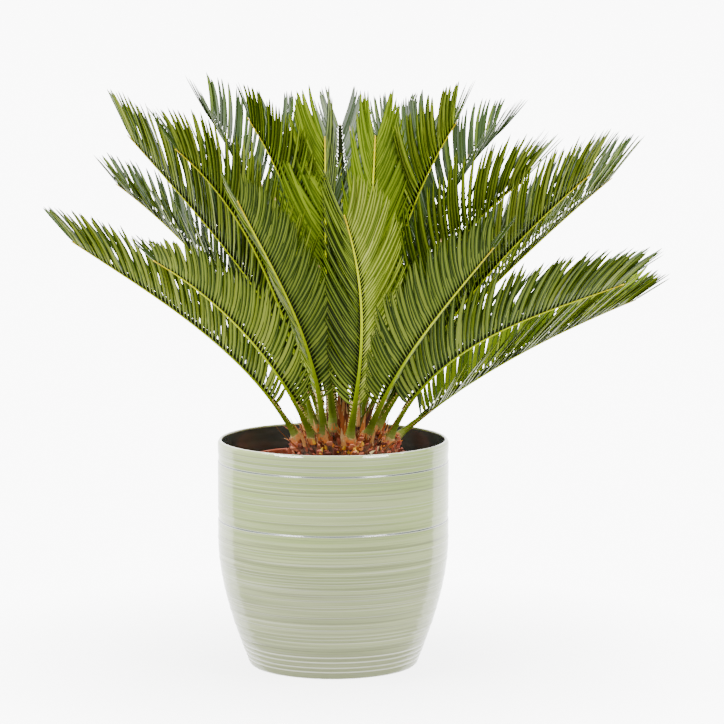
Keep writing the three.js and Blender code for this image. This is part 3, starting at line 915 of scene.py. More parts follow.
class PALM_OT_trunk(bpy.types.Operator):
    """Model the squat trunk, its leaf bases and the collars round the stalks"""

    bl_idname = "palm.trunk"
    bl_label = "Trunk"

    def execute(self, context):
        self.core()
        self.leaf_bases()
        self.collars()
        return {"FINISHED"}

    def core(self):
        """The dome under the leaf bases."""
        radii, heights = zip(*TRUNK_PROFILE)
        run = np.linspace(0, len(radii) - 1, CORE_RINGS)
        wide = np.interp(run, range(len(radii)), radii) * MM
        tall = np.interp(run, range(len(radii)), heights) * MM
        wide[-1] = 0
        piece = turned("trunk_core", [(0, 0), *zip(wide, tall)], TURNED_STEPS)
        activate(piece)
        bpy.ops.transform.translate(value=CROWN * MM)
        bpy.ops.object.transform_apply(location=True)
        roughen(piece, TRUNK_LUMPS)
        dress(piece, [fibrous_bark()], 60, "bark", "trunk")

    def leaf_bases(self):
        """Blunt stubs of old leaves, in staggered rings round the trunk's side."""
        draw, heap = seeded("old_leaf_bases"), Heap()
        for row, (height, count, radius) in enumerate(LEAF_BASE_ROWS):
            for number in range(count):
                step = number + 0.5 * (row % 2) + draw.uniform(-BASE_SPREAD, BASE_SPREAD)
                turn = math.tau * step / count
                out = compass(turn)
                rise = math.radians(draw.uniform(*BASE_RISE))
                way = out * math.cos(rise) + UP * math.sin(rise)
                root = by_trunk(out, radius, height + draw.normal(0, BASE_WANDER))
                self.stub(heap, draw, root, way, compass(turn + math.pi / 2))
        finishes = plains("leaf_base", LEAF_BASE_SHADES, 0.85)
        finishes.append(plain("leaf_base_cut", LEAF_BASE_CUT, 0.8))
        heap.settle("old_leaf_bases", finishes, 35, "bark", "trunk")

    def stub(self, heap, draw, root, way, along):
        """One leaf base, lumpy, with a blunt end that is sometimes a fresh cut."""
        up = np.cross(way, along)
        up = up if up[2] > 0 else -up
        size, half_width = draw.uniform(*BASE_SIZE), draw.uniform(*BASE_HALF_WIDTH)
        half_height = half_width * draw.uniform(*BASE_FLATNESS)
        rings = []
        for place, wide in STUB_RINGS:
            halves = along * half_width * wide, up * half_height * wide
            ring = ellipse(root + way * size * place, *halves, STUB_AROUND)
            rings.append(ring + draw.normal(0, BASE_LUMPS, (STUB_AROUND, 3)))
        points = np.array(rings)
        if np.cross(along, up) @ way > 0:
            points = points[:, ::-1]
        faces = loft(STUB_AROUND, len(STUB_RINGS), False)
        shades = [pick(draw, 4, LEAF_BASE_ODDS)] * len(faces)
        if draw.uniform() < CUT_SHARE:
            shades[-1] = len(LEAF_BASE_SHADES)
        heap.add(points, faces, shades)

    def collars(self):
        """The woolly, swollen foot of each stalk, with a ragged upper edge."""
        draw, heap = seeded("stalk_collars"), Heap()
        for frond in CROWN_FRONDS:
            foot, along, side, normal = frond.stand(0)
            inner = min(1, COLLAR_SMALLEST + frond.ring / COLLAR_GROWTH)
            top = draw.uniform(*COLLAR_TOP) * inner
            ragged = draw.normal(0, COLLAR_RAGGED, COLLAR_AROUND)[:, None]
            rings = []
            for place, wide in COLLAR_RINGS:
                reach = place if place < 0 else place * top
                middle = foot + along * (reach + max(place, 0) * ragged)
                half_width = side * (COLLAR_HALF_WIDTH * wide * inner)
                half_height = normal * (COLLAR_HALF_HEIGHT * wide * inner)
                rings.append(ellipse(middle, half_width, half_height, COLLAR_AROUND))
            lumps = draw.normal(0, COLLAR_LUMPS, (len(rings), COLLAR_AROUND, 3))
            faces = loft(COLLAR_AROUND, len(rings), False)
            shades = [0]
            for band in range(len(rings) - 1):
                shades += [band + pick(draw, 2, COLLAR_ODDS) for _ in range(COLLAR_AROUND)]
            heap.add(np.array(rings) + lumps, faces, [*shades, len(COLLAR_SHADES) - 1])
        finishes = plains("collar", COLLAR_SHADES, 0.85)
        heap.settle("stalk_collars", finishes, 50, "bark", "trunk")


SCALE_TRIES = 210
SCALE_REACH, SCALE_RINGS = 60, (4, 56)  # how far out they spread, and the radii they keep to
SCALE_WANDER, SCALE_SWAY, SCALE_TILT = 1.2, 0.08, 0.16  # of radius, turn and lean
SCALE_SIZES, SCALE_HALF_WIDTH = (0.5, 1.3), (0.0020, 0.0038)
SCALE_CURL, CURL_WAYS = (0.25, 0.3), [1, 1, 1, -0.4]
PALE_TIP, PALE_TIP_SHARE, TIP_RINGS = 5, 0.3, 3
# Each of these pairs a radius on the trunk with a value there, in degrees or millimetres.
SCALE_LEAN = [(0, 4), (25, 13), (45, 22), (60, 30)]
SCALE_LENGTH = [(0, 44), (20, 40), (40, 24), (56, 11)]
SCALE_SUNK = 0.006
SCALE_CLEAR = 0.45  # of its half width has to be clear between a scale leaf and the ribs
SCALE_SHADES = [
    (182, 100, 40), (212, 132, 60), (134, 68, 30), (228, 164, 92), (82, 42, 22), (240, 200, 136),
]
SCALE_ODDS = [0.24, 0.26, 0.22, 0.16, 0.12]
STALK_PART, STALK_POINTS = 0.3, 24  # the part of a rib that scale leaves keep clear of
# Heading, ring, height, lean, length, curl and shade of each stray scale leaf.
STRAYS = [
    (-150, 58, 27, 48, 42, -0.2, 1), (-138, 56, 29, 26, 32, 0.3, 3), (-93, 51, 33, 14, 25, 0.9, 5),
    (-88, 52, 31, 4, 17, -0.5, 3), (-56, 50, 32, 24, 27, 0.4, 3), (-42, 58, 27, 52, 34, 0.1, 5),
    (-32, 50, 32, 26, 36, 0.2, 0), (-165, 50, 32, 20, 30, 0.2, 1), (-112, 50, 33, 10, 22, 0.3, 3),
    (30, 57, 22, 55, 36, 0.4, 1), (80, 57, 22, 48, 40, 0.6, 3), (140, 57, 22, 58, 38, 0.3, 0),
]
STRAY_HALF_WIDTH = 0.0026
FIBRES, FIBRE_AROUND, FIBRE_STEPS = 190, 3, 5
FIBRE_LEAN, FIBRE_STRAYS, FIBRE_BEND = (-0.2, 0.5), 0.3, 0.5
FIBRE_SIZE, FIBRE_HALF_WIDTH, FIBRE_SUNK = (0.004, 0.012), (0.00022, 0.0005), 0.003
FIBRE_SHADES = [(150, 96, 60), (186, 138, 92), (108, 64, 44)]
# The headings and heights of the torn chips in front. The others are spread over the back.
FRONT_CHIPS = [
    (-126, 34), (-110, 30), (-96, 27), (-86, 26), (-80, 29), (-70, 33), (-60, 30), (-48, 28),
    (-116, 25), (-102, 32), (-91, 30), (-83, 25), (-77, 26), (-73, 29), (-67, 27), (-63, 25),
    (-55, 27), (-43, 31),
]
BACK_CHIPS, BACK_HEADINGS, BACK_HEIGHTS, BACK_CHIP_SIZE = 16, (-30, 210), (20, 40), 0.8
CHIP_RADIUS = [(24, 60), (31, 57.5), (36, 53), (46, 34)]  # at each height
TORN_LEAN, TORN_STRAYS, TORN_SIZE = (-0.1, 0.5), 0.6, (0.005, 0.009)
TORN_HALF_WIDTH, TORN_CURL, TORN_THICK = 0.26, 0.5, 1.6  # a share of its size, radians, a factor
TORN_SHADES = [(252, 196, 56), (240, 146, 54), (250, 226, 160)]


class PALM_OT_scale_leaves(bpy.types.Operator):
    """Set the dry scale leaves, fibres and chips between the stalks"""

    bl_idname = "palm.scale_leaves"
    bl_label = "Scale leaves"

    def execute(self, context):
        draw, heap = seeded("scale_leaves"), Heap()
        self.tuft(heap, draw)
        for heading, ring, height, lean, size, curl, shade in STRAYS:
            out, lean = compass(math.radians(heading)), math.radians(lean)
            way, root = leaning(out, lean), by_trunk(out, ring, height)
            blade = curved_blade(root, way, out, size * MM, STRAY_HALF_WIDTH, curl, draw)
            heap.add(blade, BLADE_FACES, shade)
        finishes = plains("scale_leaf", SCALE_SHADES, 0.75)
        heap.settle("scale_leaves", finishes, 50, "bark", "trunk")
        self.fibres()
        self.chips()
        return {"FINISHED"}

    def tuft(self, heap, draw):
        """Dry scale leaves all over the trunk's top, longest in the middle, between the stalks."""
        places = np.linspace(0, STALK_PART, STALK_POINTS)
        stalks = np.vstack([frond.point(places) for frond in CROWN_FRONDS])
        stalk_radii = np.tile(stops(RIB_HALF_WIDTH, places) * MM, len(CROWN_FRONDS))
        golden = math.pi * (3 - math.sqrt(5))
        tip_faces = len(BLADE_SECTION) * TIP_RINGS
        for number in range(SCALE_TRIES):
            share = (number + 0.5) / SCALE_TRIES
            radius = SCALE_REACH * math.sqrt(share) + draw.normal(0, SCALE_WANDER)
            radius = float(np.clip(radius, *SCALE_RINGS))
            out = compass(golden * number + draw.normal(0, SCALE_SWAY))
            lean = math.radians(stops(SCALE_LEAN, radius)) + draw.normal(0, SCALE_TILT)
            way, root = leaning(out, lean), by_trunk(out, radius, trunk_height(radius))
            size = stops(SCALE_LENGTH, radius) * MM * draw.uniform(*SCALE_SIZES)
            half_width = draw.uniform(*SCALE_HALF_WIDTH)
            middle = root + way * size * np.linspace(0.1, 1, 8)[:, None]
            gaps = np.linalg.norm(middle[:, None] - stalks[None], axis=2) - stalk_radii
            if gaps.min() < half_width * SCALE_CLEAR:
                continue
            curl = abs(draw.normal(*SCALE_CURL)) * draw.choice(CURL_WAYS)
            root, size = root - way * SCALE_SUNK, size + SCALE_SUNK
            blade = curved_blade(root, way, out, size, half_width, curl, draw)
            shade = pick(draw, 5, SCALE_ODDS)
            shades = [shade] * (len(BLADE_FACES) - tip_faces)
            for _ in range(tip_faces):
                shades.append(PALE_TIP if draw.uniform() < PALE_TIP_SHARE else shade)
            heap.add(blade, BLADE_FACES, shades)

    def fibres(self):
        """Wool and fibres that fray from the leaf bases."""
        draw, heap = seeded("trunk_fibres"), Heap()
        faces = loft(FIBRE_AROUND, FIBRE_STEPS, True)
        for _ in range(FIBRES):
            radius = SCALE_REACH * math.sqrt(draw.uniform(0.05, 1))
            out = compass(draw.uniform(0, math.tau))
            root = by_trunk(out, radius, trunk_height(min(radius, SCALE_REACH - 1)) + 2)
            way = unit(out * draw.uniform(*FIBRE_LEAN) + draw.normal(0, FIBRE_STRAYS, 3) + UP)
            bend = draw.normal(0, FIBRE_BEND, 3)
            size, half_width = draw.uniform(*FIBRE_SIZE), draw.uniform(*FIBRE_HALF_WIDTH)
            side, third = across(way, np.array([0.3, 0.2, -0.5]))
            rings, point = [], root - way * FIBRE_SUNK
            for step in range(FIBRE_STEPS):
                taper = half_width * (1 - step / (FIBRE_STEPS + 1))
                rings.append(ellipse(point, side * taper, -third * taper, FIBRE_AROUND))
                way = unit(way + bend / FIBRE_STEPS)
                point = point + way * size / FIBRE_STEPS
            heap.add(np.vstack([*rings, point]), faces, pick(draw, 3))
        finishes = plains("fibre", FIBRE_SHADES, 0.8)
        heap.settle("trunk_fibres", finishes, 60, "bark", "trunk")

    def chips(self):
        """Bright torn chips among the leaf bases."""
        draw, heap = seeded("torn_chips"), Heap()
        spots = [(*spot, 1.0) for spot in FRONT_CHIPS]
        for _ in range(BACK_CHIPS):
            heading, height = draw.uniform(*BACK_HEADINGS), draw.uniform(*BACK_HEIGHTS)
            spots.append((heading, height, BACK_CHIP_SIZE))
        for heading, height, scale in spots:
            out = compass(math.radians(heading))
            root = by_trunk(out, stops(CHIP_RADIUS, height), height)
            way = unit(UP + out * draw.uniform(*TORN_LEAN) + draw.normal(0, TORN_STRAYS, 3))
            size = draw.uniform(*TORN_SIZE) * scale
            half_width = size * TORN_HALF_WIDTH
            blade = curved_blade(root, way, out, size, half_width, TORN_CURL, draw, TORN_THICK)
            heap.add(blade, BLADE_FACES, pick(draw, 3))
        finishes = plains("torn_chip", TORN_SHADES, 0.6)
        heap.settle("torn_chips", finishes, 50, "bark", "trunk")


# ---- fronds ----

RIB_SHADES = 36
RIB_COLOURS = [
    (0, (168, 142, 82)), (0.012, (158, 156, 94)), (0.045, (122, 136, 52)), (0.08, (98, 116, 18)),
    (0.16, (114, 134, 2)), (0.3, (168, 194, 0)), (0.5, (224, 242, 0)), (0.88, (244, 252, 0)),
    (1, (244, 206, 10)),
]
SPINE, SPINE_TIP, LEAFLET_FOOT_SHADOW = RIB_SHADES, RIB_SHADES + 1, RIB_SHADES + 2
# How much of the solid's width the rib has, at each place along it.
RIB_FINENESS = [
    (0, 1.7), (0.02, 1.4), (0.045, 1.1), (0.07, 1), (0.12, 0.92), (0.3, 0.58), (0.6, 0.56),
    (1, 0.8),
]
RIB_RINGS = 72
RIB_CROWDING = 1.5  # how much closer the rings and shades stand towards the foot
RIB_AROUND = 10
RIB_SUNK = 0.008
RIB_FLATTENED = 0.8  # of its half height, on its upper side
SPINES_FROM, SPINES_TO, SPINES = 0.03, 0.17, 15
SPINE_HALF_WIDTH = 0.0008
SPINE_SECTION = [(1, 0), (0, -1), (-1, 0), (0, 1)]
SPINE_OUT, SPINE_AHEAD, SPINE_UP = 0.8, 0.45, (0.1, 0.5)
SPINE_ROOT = 0.75  # of the rib's half width, out from its middle
SPINE_SHORTEST, SPINE_GAIN, SPINE_STRAYS = 2.6, 3, (0.8, 1.2)  # millimetres, and a factor
SPINE_WAIST = 0.6  # of its length from its root, and of its width there
# A dark strip on each side of the rib, a painted shadow for the gaps between the leaflets' feet.
SHADOW_STRIP_FROM, SHADOW_STRIP_TO = BLADE_START - 0.02, 0.99
SHADOW_STRIP_WIDTH, SHADOW_STRIP_THICK, SHADOW_STRIP_KEEL = 0.0048, 0.00035, 45
SHADOW_STRIP_ROOT, SHADOW_STRIP_RAISED = 0.55, 0.5  # of the rib's half width, and in millimetres
SHADOW_STRIP_REACH = [(0.1, 0.5), (0.25, 1), (0.8, 1), (1, 0.4)]


def tiers(kind):
    """Each tier's name, the frond numbers in it, random numbers for it and an empty heap."""
    for name, members in TIERS.items():
        yield f"{name}_{kind}", members, seeded(kind, members[0]), Heap()


def nodes_of(members):
    return [CROWN_FRONDS[index].node for index in members]


class PALM_OT_ribs(bpy.types.Operator):
    """Loft the stalks and ribs of the fronds, with the spines on their stalks"""

    bl_idname = "palm.ribs"
    bl_label = "Ribs"

    def execute(self, context):
        finishes = []
        for number in range(RIB_SHADES):
            place = ((number + 0.5) / RIB_SHADES) ** RIB_CROWDING
            shade = [float(stops([(at, c[i]) for at, c in RIB_COLOURS], place)) for i in range(3)]
            finishes.append(plain(f"rib_{number}", shade, 0.6, 0.06))
        finishes.append(plain("spine", (244, 222, 140), 0.5))
        finishes.append(plain("spine_tip", (150, 92, 44), 0.6))
        # Painted shadow: the dark strips behind the leaflets' feet.
        finishes.append(plain("leaflet_foot_shadow", (24, 32, 2), 0.7, 0.1))
        for name, members, draw, heap in tiers("ribs"):
            for index in members:
                frond = CROWN_FRONDS[index]
                self.rib(heap, frond)
                self.shadow_strip(heap, frond, -1)
                self.shadow_strip(heap, frond, 1)
                self.spines(heap, frond, draw)
            heap.settle(name, finishes, 55, "foliage", *nodes_of(members))
        return {"FINISHED"}

    def rib(self, heap, frond):
        """The stalk and rib, from inside its collar to the frond's tip."""
        run = np.linspace(0, 1, RIB_RINGS)
        places = run**RIB_CROWDING
        along, side, normal = frond.axes(places)
        middles = frond.point(places)
        middles = np.vstack([middles[0] - along[0] * RIB_SUNK, middles])
        side, normal = (np.vstack([axis[:1], axis]) for axis in (side, normal))
        places = np.concatenate([[0], places])
        fine = stops(RIB_FINENESS, places)[:, None, None] * MM
        wide = stops(RIB_HALF_WIDTH, places)[:, None, None] * fine
        tall = stops(RIB_HALF_HEIGHT, places)[:, None, None] * fine
        spots = np.arange(RIB_AROUND) * math.tau / RIB_AROUND
        up = np.sin(spots)
        up = np.where(up > 0, up * RIB_FLATTENED, up)[None, :, None]
        out = np.cos(spots)[None, :, None]
        points = middles[:, None] + side[:, None] * wide * out + normal[:, None] * tall * up
        shades = [0]
        for at in run:
            shades += [min(int(at * RIB_SHADES), RIB_SHADES - 1)] * RIB_AROUND
        heap.add(points, loft(RIB_AROUND, len(places), False), [*shades, RIB_SHADES - 1])

    def shadow_strip(self, heap, frond, sign):
        """A dark strip behind the feet of the leaflets on one side: a painted shadow for the gaps between their
        feet.
        """
        places = np.linspace(SHADOW_STRIP_FROM, SHADOW_STRIP_TO, RIB_RINGS)
        _, side, normal = frond.axes(places)
        keel = math.radians(SHADOW_STRIP_KEEL)
        out = side * sign * math.cos(keel) + normal * math.sin(keel)
        thick = normal * math.cos(keel) - side * sign * math.sin(keel)
        wide = (stops(RIB_HALF_WIDTH, places) * SHADOW_STRIP_ROOT * MM)[:, None]
        root = frond.point(places) + side * sign * wide + thick * SHADOW_STRIP_RAISED * MM
        far = root + out * SHADOW_STRIP_WIDTH * stops(SHADOW_STRIP_REACH, places)[:, None]
        over = thick * SHADOW_STRIP_THICK
        points = np.stack([root, far, far + over, root + over], axis=1)
        if sign < 0:
            points = points[:, ::-1]
        heap.add(points, loft(4, RIB_RINGS, False), LEAFLET_FOOT_SHADOW)

    def spines(self, heap, frond, draw):
        """The short spines on both sides of the stalk, longer towards the blade."""
        faces = loft(4, 2, True)
        shades = [SPINE] * 5 + [SPINE_TIP] * 4
        for sign in (-1, 1):
            for number in range(SPINES):
                run = (number + draw.uniform(0, 0.7)) / SPINES
                place = SPINES_FROM + (SPINES_TO - SPINES_FROM) * run
                middle, along, side, normal = frond.stand(place)
                way = side * sign * SPINE_OUT + along * SPINE_AHEAD
                way = unit(way + normal * draw.uniform(*SPINE_UP))
                lean, third = across(way, along)
                root = middle + side * sign * stops(RIB_HALF_WIDTH, place) * MM * SPINE_ROOT
                size = SPINE_SHORTEST + SPINE_GAIN * number / SPINES
                size = size * MM * draw.uniform(*SPINE_STRAYS)
                ring = np.array([lean * a + third * b for a, b in SPINE_SECTION]) * SPINE_HALF_WIDTH
                far = root + way * size * SPINE_WAIST + ring * SPINE_WAIST
                heap.add(np.vstack([root + ring, far, root + way * size]), faces, shades)


LEAFLET_FOOT = 0.68  # of the rib's half width, out from its middle
LEAFLET_STEPS = [0, 0.045, 0.1, 0.24, 0.44, 0.64, 0.82, 0.94, 1]
# A leaflet's section: over its grooved upper side and round its rolled margins, then back along
# the hollows and the midrib below.
LEAFLET_SECTION = [
    (-1, -0.3), (-0.7, 0.0), (0, -0.06), (0.7, 0.0), (1, -0.3),
    (0.68, -0.24), (0.15, -0.36), (-0.15, -0.36), (-0.68, -0.24),
]
# The midrib faces get the midrib's paler colour, brightened into a painted highlight along each leaflet.
UPPER, UNDER, MIDRIB_HIGHLIGHT, SHADED_MARGIN = range(4)
# The margin faces get a dark painted shade that stands in for the shadowed gaps between the leaflets.
SECTION_SIDES = [SHADED_MARGIN, UPPER, UPPER, SHADED_MARGIN, SHADED_MARGIN, UNDER, MIDRIB_HIGHLIGHT, UNDER, SHADED_MARGIN]
LEAFLET_WIDTH = [
    (0, 0.16), (0.045, 0.26), (0.1, 0.55), (0.24, 0.98), (0.44, 1), (0.64, 0.92), (0.82, 0.66),
    (0.94, 0.34), (1, 0.08),
]
# A leaflet has this share of its full width at no length, and gains a full width in this length.
NARROWEST, WIDENING_LENGTH = 0.45, 0.11
# How far the leaflets of a row stray from each other, in degrees, radians, shares and radians.
ANGLE_STRAYS, KEEL_STRAYS, LENGTH_STRAYS, LOUVRE_STRAYS = 1.7, 0.035, 0.035, 0.13
UPPER_SHADES = [(40, 60, 18), (52, 74, 16), (78, 98, 22), (50, 64, 38)]
# Each tone that a row can have is a lighter or darker copy of the same leaf colours, painted light and shade for
# how brightly the row is lit: four shades of the underside, then the midrib, painted paler as a highlight, and the
# margins, painted dark as shade.
LIT_AND_SHADED_TONES = {
    "bright": [
        (118, 140, 30), (138, 158, 46), (164, 182, 68), (196, 208, 100), (212, 222, 86),
        (88, 106, 16),
    ],
    "green": [
        (82, 106, 8), (102, 124, 16), (122, 142, 28), (152, 168, 56), (168, 184, 52), (48, 66, 4),
    ],
    "deep": [
        (62, 84, 4), (78, 100, 7), (98, 120, 16), (130, 148, 42), (146, 164, 40), (38, 56, 2),
    ],
    "shaded": [
        (46, 62, 2), (66, 86, 5), (90, 110, 12), (126, 146, 38), (130, 150, 34), (18, 28, 1),
    ],
    "even": [
        (82, 104, 4), (96, 118, 7), (110, 132, 12), (130, 150, 26), (132, 152, 24), (70, 92, 4),
    ],
}
UPPER_ODDS = [0.28, 0.32, 0.22, 0.18]
UNDER_ODDS = [0.25, 0.35, 0.25, 0.15]
# Painted light: on these fronds the dark upper side is painted as pale as the underside, for how it looks lit at a
# grazing angle.
LIGHT_PAINTED_TOPS = [3, 4, 5, 7]  # the numbers of fronds whose upper side is as pale as the lower one
DRY_SHADE = (222, 186, 124)
DRY_SHARE = 0.015  # of the leaflets have a dry tip
LIMP_FROND, LIMP_PLACE, LIMP_LENGTH, LIMP_HALF_WIDTH = 5, 0.2, 0.029, 0.0023
LIMP_DROP, LIMP_CURL, LIMP_WAY, LIMP_TOWARDS = 2 * MM, 0.25, (0.1, 0, -1), (0, -1, 0)
# The tones of each numbered frond's two rows, where they aren't both deep: painted light and shade, brighter for
# the rows that face the lights and darker for the rows in shade.
ROW_LIGHT_AND_SHADE = {
    1: ("green", "green"), 2: ("green", "deep"), 3: ("deep", "green"), 4: ("bright", "shaded"),
    6: ("green", "deep"), 7: ("green", "green"), 14: ("green", "deep"), 15: ("green", "deep"),
    16: ("green", "green"), 17: ("green", "green"), 18: ("green", "green"),
    19: ("green", "green"), 23: ("shaded", "even"), 24: ("even", "even"), 25: ("green", "green"),
}


class PALM_OT_leaflets(bpy.types.Operator):
    """Grow the leaflets on both sides of every rib"""

    bl_idname = "palm.leaflets"
    bl_label = "Leaflets"

    def execute(self, context):
        crown = context.scene.palm_crown
        finishes, first = plains("leaf_upper", UPPER_SHADES, 0.42, 0.32), {}
        for tone, (*under, midrib_highlight, margin_shade) in LIT_AND_SHADED_TONES.items():
            first[tone] = len(finishes)
            finishes += plains(f"leaf_under_{tone}", under, 0.34, 0.2)
            # The midrib's paler colour, brightened into a painted highlight.
            finishes.append(plain(f"leaf_midrib_{tone}", midrib_highlight, 0.45, 0.3))
            # Painted shade on the margins.
            finishes.append(plain(f"leaf_margin_{tone}", margin_shade, 0.5, 0.05))
        finishes.append(plain("leaf_dry_tip", DRY_SHADE, 0.7))
        for name, members, draw, heap in tiers("leaflets"):
            for index in members:
                # Each row's tone paints in how brightly that row is lit.
                tones = ROW_LIGHT_AND_SHADE.get(index + 1, ("deep", "deep"))
                for sign, tone in zip((-1, 1), tones):
                    leaflets = self.row(CROWN_FRONDS[index], sign, crown, draw)
                    light_painted_top = index + 1 in LIGHT_PAINTED_TOPS
                    self.paint(heap, leaflets, first[tone], light_painted_top, len(finishes) - 1, draw)
            if LIMP_FROND in members:
                self.hanging(heap, draw)
            heap.settle(name, finishes, 40, "foliage", *nodes_of(members))
        return {"FINISHED"}

    def paint(self, heap, leaflets, first, light_painted_top, dry, draw):
        """Deals shades out among a row's leaflets, whose tone of painted light and shade begins at finish `first`.
        """
        around = len(LEAFLET_SECTION)
        faces = loft(around, len(LEAFLET_STEPS) - 1, True)
        sides = [UNDER] + SECTION_SIDES * (len(LEAFLET_STEPS) - 1)
        for points in leaflets:
            upper, under = pick(draw, 4, UPPER_ODDS), first + pick(draw, 4, UNDER_ODDS)
            # Painted light on the upper side of these fronds.
            upper = under if light_painted_top else upper
            shade = {UPPER: upper, UNDER: under, MIDRIB_HIGHLIGHT: first + 4, SHADED_MARGIN: first + 5}
            shades = [shade[side] for side in sides]
            if draw.uniform() < DRY_SHARE:
                shades[-around:] = [dry] * around
            heap.add(points, faces, shades)

    def hanging(self, heap, draw):
        """One leaflet that has gone limp and hangs from its rib."""
        root = CROWN_FRONDS[LIMP_FROND].stand(LIMP_PLACE)[0] - UP * LIMP_DROP
        way, towards = unit(np.array(LIMP_WAY)), np.array(LIMP_TOWARDS)
        blade = curved_blade(root, way, towards, LIMP_LENGTH, LIMP_HALF_WIDTH, LIMP_CURL, draw)
        heap.add(blade, BLADE_FACES, 1)

    def row(self, frond, sign, crown, draw):
        """The points of every leaflet on one side of a frond."""
        count = round((BLADE_END - BLADE_START) * frond.length / crown.pitch)
        blade = (np.arange(count) + 0.5) / count
        place = BLADE_START + (BLADE_END - BLADE_START) * blade
        along, side, normal = (axis[:, None] for axis in frond.axes(place))
        angle = stops(LEAFLET_ANGLE, blade) * frond.close + draw.normal(0, ANGLE_STRAYS, count)
        angle = np.radians(angle)[:, None]
        keel = (crown.keel + draw.normal(0, KEEL_STRAYS, count))[:, None]
        size = frond.longest_leaflet * stops(LEAFLET_LENGTH, blade)
        size = (size * (1 + draw.normal(0, LENGTH_STRAYS, count)))[:, None]
        share = np.array(LEAFLET_STEPS)[None]
        bend = angle + crown.curve * (0.5 - share)
        lift = keel + crown.lift * (share - 0.5)
        level = side * sign * np.cos(lift)[..., None] + normal * np.sin(lift)[..., None]
        way = along * np.cos(bend)[..., None] + level * np.sin(bend)[..., None]
        foot = (stops(RIB_HALF_WIDTH, place) * LEAFLET_FOOT * MM)[:, None]
        root = frond.point(place) + side[:, 0] * sign * foot
        steps = (way[:, 1:] + way[:, :-1]) / 2 * (size * np.diff(share))[..., None]
        reach = np.cumsum(steps, axis=1)
        middles = root[:, None] + np.concatenate([0 * reach[:, :1], reach], axis=1)
        edge = along - way * np.sum(along * way, axis=2, keepdims=True)
        edge = edge / np.linalg.norm(edge, axis=2, keepdims=True)
        face = np.cross(way, edge)
        turned_over = np.sign(np.sum(face * normal, axis=2, keepdims=True))
        edge, face = edge * turned_over, face * turned_over
        louvre = crown.louvre + draw.normal(0, LOUVRE_STRAYS, count)
        louvre = louvre[:, None, None] * turned_over
        edge, face = (
            edge * np.cos(louvre) + face * np.sin(louvre),
            face * np.cos(louvre) - edge * np.sin(louvre),
        )
        half = crown.width * frond.slim / 2 * stops(LEAFLET_WIDTH, share)
        half = half * np.minimum(1, NARROWEST + size / WIDENING_LENGTH)
        x, y = (np.array(axis)[None, None, :, None] for axis in zip(*LEAFLET_SECTION))
        section = edge[:, :, None] * x + face[:, :, None] * y
        points = middles[:, :, None] + section * half[..., None, None]
        for leaflet in range(count):
            yield np.vstack([points[leaflet, :-1].reshape(-1, 3), middles[leaflet, -1]])


# ---- stage ----

CAMERA_PLACE = (0.031, -3.67, 0.80)
CAMERA_PITCH = 82.67
CAMERA_LENS = 171.2
SENSOR = 36
FLOOR_RADIUS = 0.5
FLOOR_WHOLE = 0.12  # the radius within which the floor doesn't fade
FLOOR_DROP = 0.0002
MIDDLE = (0.0, 0.0, 0.33)
SOFT_BOXES = [("left_soft_box", -67, 48, 1.0), ("right_soft_box", 67, 48, 0.9)]
SOFT_BOX_AWAY = 2.5
SOFT_BOX_SIZE = (1.7, 0.5)
# How far behind or below a direction points where the surround starts to brighten and is at
# its brightest: behind the plant, below it, and behind it in reflections.
BEHIND, BELOW, GLOSS_EDGE = (0.35, 0.6), (0.02, -0.05), (0.455, 0.5)


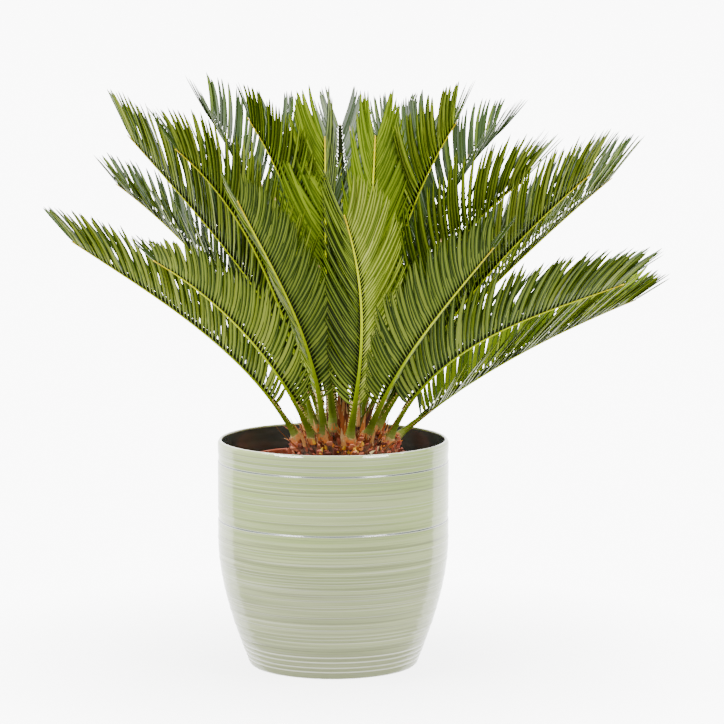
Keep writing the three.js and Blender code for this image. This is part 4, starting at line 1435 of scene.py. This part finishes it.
class PALM_OT_stage(bpy.types.Operator):
    """Set the pale floor, the soft lights and the camera"""

    bl_idname = "palm.stage"
    bl_label = "Stage"

    def execute(self, context):
        settings = context.scene.palm_stage
        self.floor(settings)
        self.sky(context.scene, settings)
        for name, heading, height, share in SOFT_BOXES:
            self.soft_box(name, heading, height, settings.key * share)
        deselect()
        pitch = math.radians(CAMERA_PITCH)
        bpy.ops.object.camera_add(location=CAMERA_PLACE, rotation=(pitch, 0, 0))
        camera = context.object
        camera.data.lens = CAMERA_LENS
        camera.data.sensor_width = SENSOR
        context.scene.camera = camera
        return {"FINISHED"}

    def floor(self, settings):
        """A pale floor that fades into the white surround away from the pot."""
        deselect()
        bpy.ops.mesh.primitive_circle_add(
            vertices=64, radius=FLOOR_RADIUS, fill_type="NGON", location=(0, 0, -FLOOR_DROP)
        )
        floor = bpy.context.object
        floor.name = "floor"
        finish = Finish("pale_floor", settings.floor, 0.6)
        x, y = finish.axis("Object", "X"), finish.axis("Object", "Y")
        square = x * x + y * y
        away = square.maths("SQRT", square)
        finish.set("Alpha", away.between(FLOOR_RADIUS, FLOOR_WHOLE) * settings.shadow)
        floor.data.materials.append(finish.material)
        floor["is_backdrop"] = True

    def sky(self, scene, settings):
        """A white surround, brighter behind the plant, and brightest where it is seen itself."""
        world = bpy.data.worlds.new("white_surround")
        world.use_nodes = True
        scene.world = world
        shading = Shading(world.node_tree)
        rays = shading.node("ShaderNodeLightPath", {}).outputs
        seen = Value(shading.tree, rays["Is Camera Ray"])
        glossy = Value(shading.tree, rays["Is Glossy Ray"])
        ahead, up = shading.axis("Generated", "Y"), shading.axis("Generated", "Z")
        strength = settings.sky + ahead.between(*BEHIND) * settings.back
        strength = strength + up.between(*BELOW) * settings.ground
        strength = strength + ahead.between(*GLOSS_EDGE) * glossy * settings.gloss
        background = world.node_tree.nodes["Background"]
        shading.feed(background.inputs["Strength"], strength + seen * settings.white)
        shading.feed(background.inputs["Color"], (1, 1, 1, 1))

    def soft_box(self, name, heading, height, power):
        """A long soft light that faces the plant's middle."""
        heading, height = math.radians(heading), math.radians(height)
        back = (math.sin(heading) * math.cos(height), -math.cos(heading) * math.cos(height))
        place = [m + SOFT_BOX_AWAY * b for m, b in zip(MIDDLE, (*back, math.sin(height)))]
        deselect()
        turn = (math.pi / 2 - height, 0, heading)
        bpy.ops.object.light_add(type="AREA", location=place, rotation=turn)
        lamp = bpy.context.object
        lamp.name = name
        lamp.data.shape = "RECTANGLE"
        lamp.data.size, lamp.data.size_y = SOFT_BOX_SIZE
        lamp.data.energy = power


# ---- add-on ----

OPERATORS = [
    PALM_OT_cover_pot,
    PALM_OT_nursery_pot,
    PALM_OT_potting_mix,
    PALM_OT_trunk,
    PALM_OT_scale_leaves,
    PALM_OT_ribs,
    PALM_OT_leaflets,
    PALM_OT_stage,
]


class PALM_PT_sidebar(bpy.types.Panel):
    """The palm's pieces and settings"""

    bl_idname = "PALM_PT_sidebar"
    bl_label = "Potted Sago Palm"
    bl_space_type = "VIEW_3D"
    bl_region_type = "UI"
    bl_category = "Palm"

    def draw(self, context):
        for operator in OPERATORS:
            self.layout.operator(operator.bl_idname)
        for group in (context.scene.palm_pot, context.scene.palm_crown, context.scene.palm_stage):
            column = self.layout.column()
            for name in group.__annotations__:
                column.prop(group, name)


SETTINGS = {"palm_pot": PotSettings, "palm_crown": CrownSettings, "palm_stage": StageSettings}
CLASSES = [*SETTINGS.values(), *OPERATORS, PALM_PT_sidebar]


def register():
    for cls in CLASSES:
        bpy.utils.register_class(cls)
    for name, group in SETTINGS.items():
        setattr(bpy.types.Scene, name, PointerProperty(type=group))


def unregister():
    for name in SETTINGS:
        delattr(bpy.types.Scene, name)
    for cls in reversed(CLASSES):
        bpy.utils.unregister_class(cls)


def main():
    register()
    bpy.ops.palm.cover_pot()
    bpy.ops.palm.nursery_pot()
    bpy.ops.palm.potting_mix()
    bpy.ops.palm.trunk()
    bpy.ops.palm.scale_leaves()
    bpy.ops.palm.ribs()
    bpy.ops.palm.leaflets()
    bpy.ops.palm.stage()
    boxes = {"cad": CAD_BOX, "visual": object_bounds()}
    {name: [list(low), list(high)] for name, (low, high) in boxes.items()}


if __name__ == "__main__":
    main()
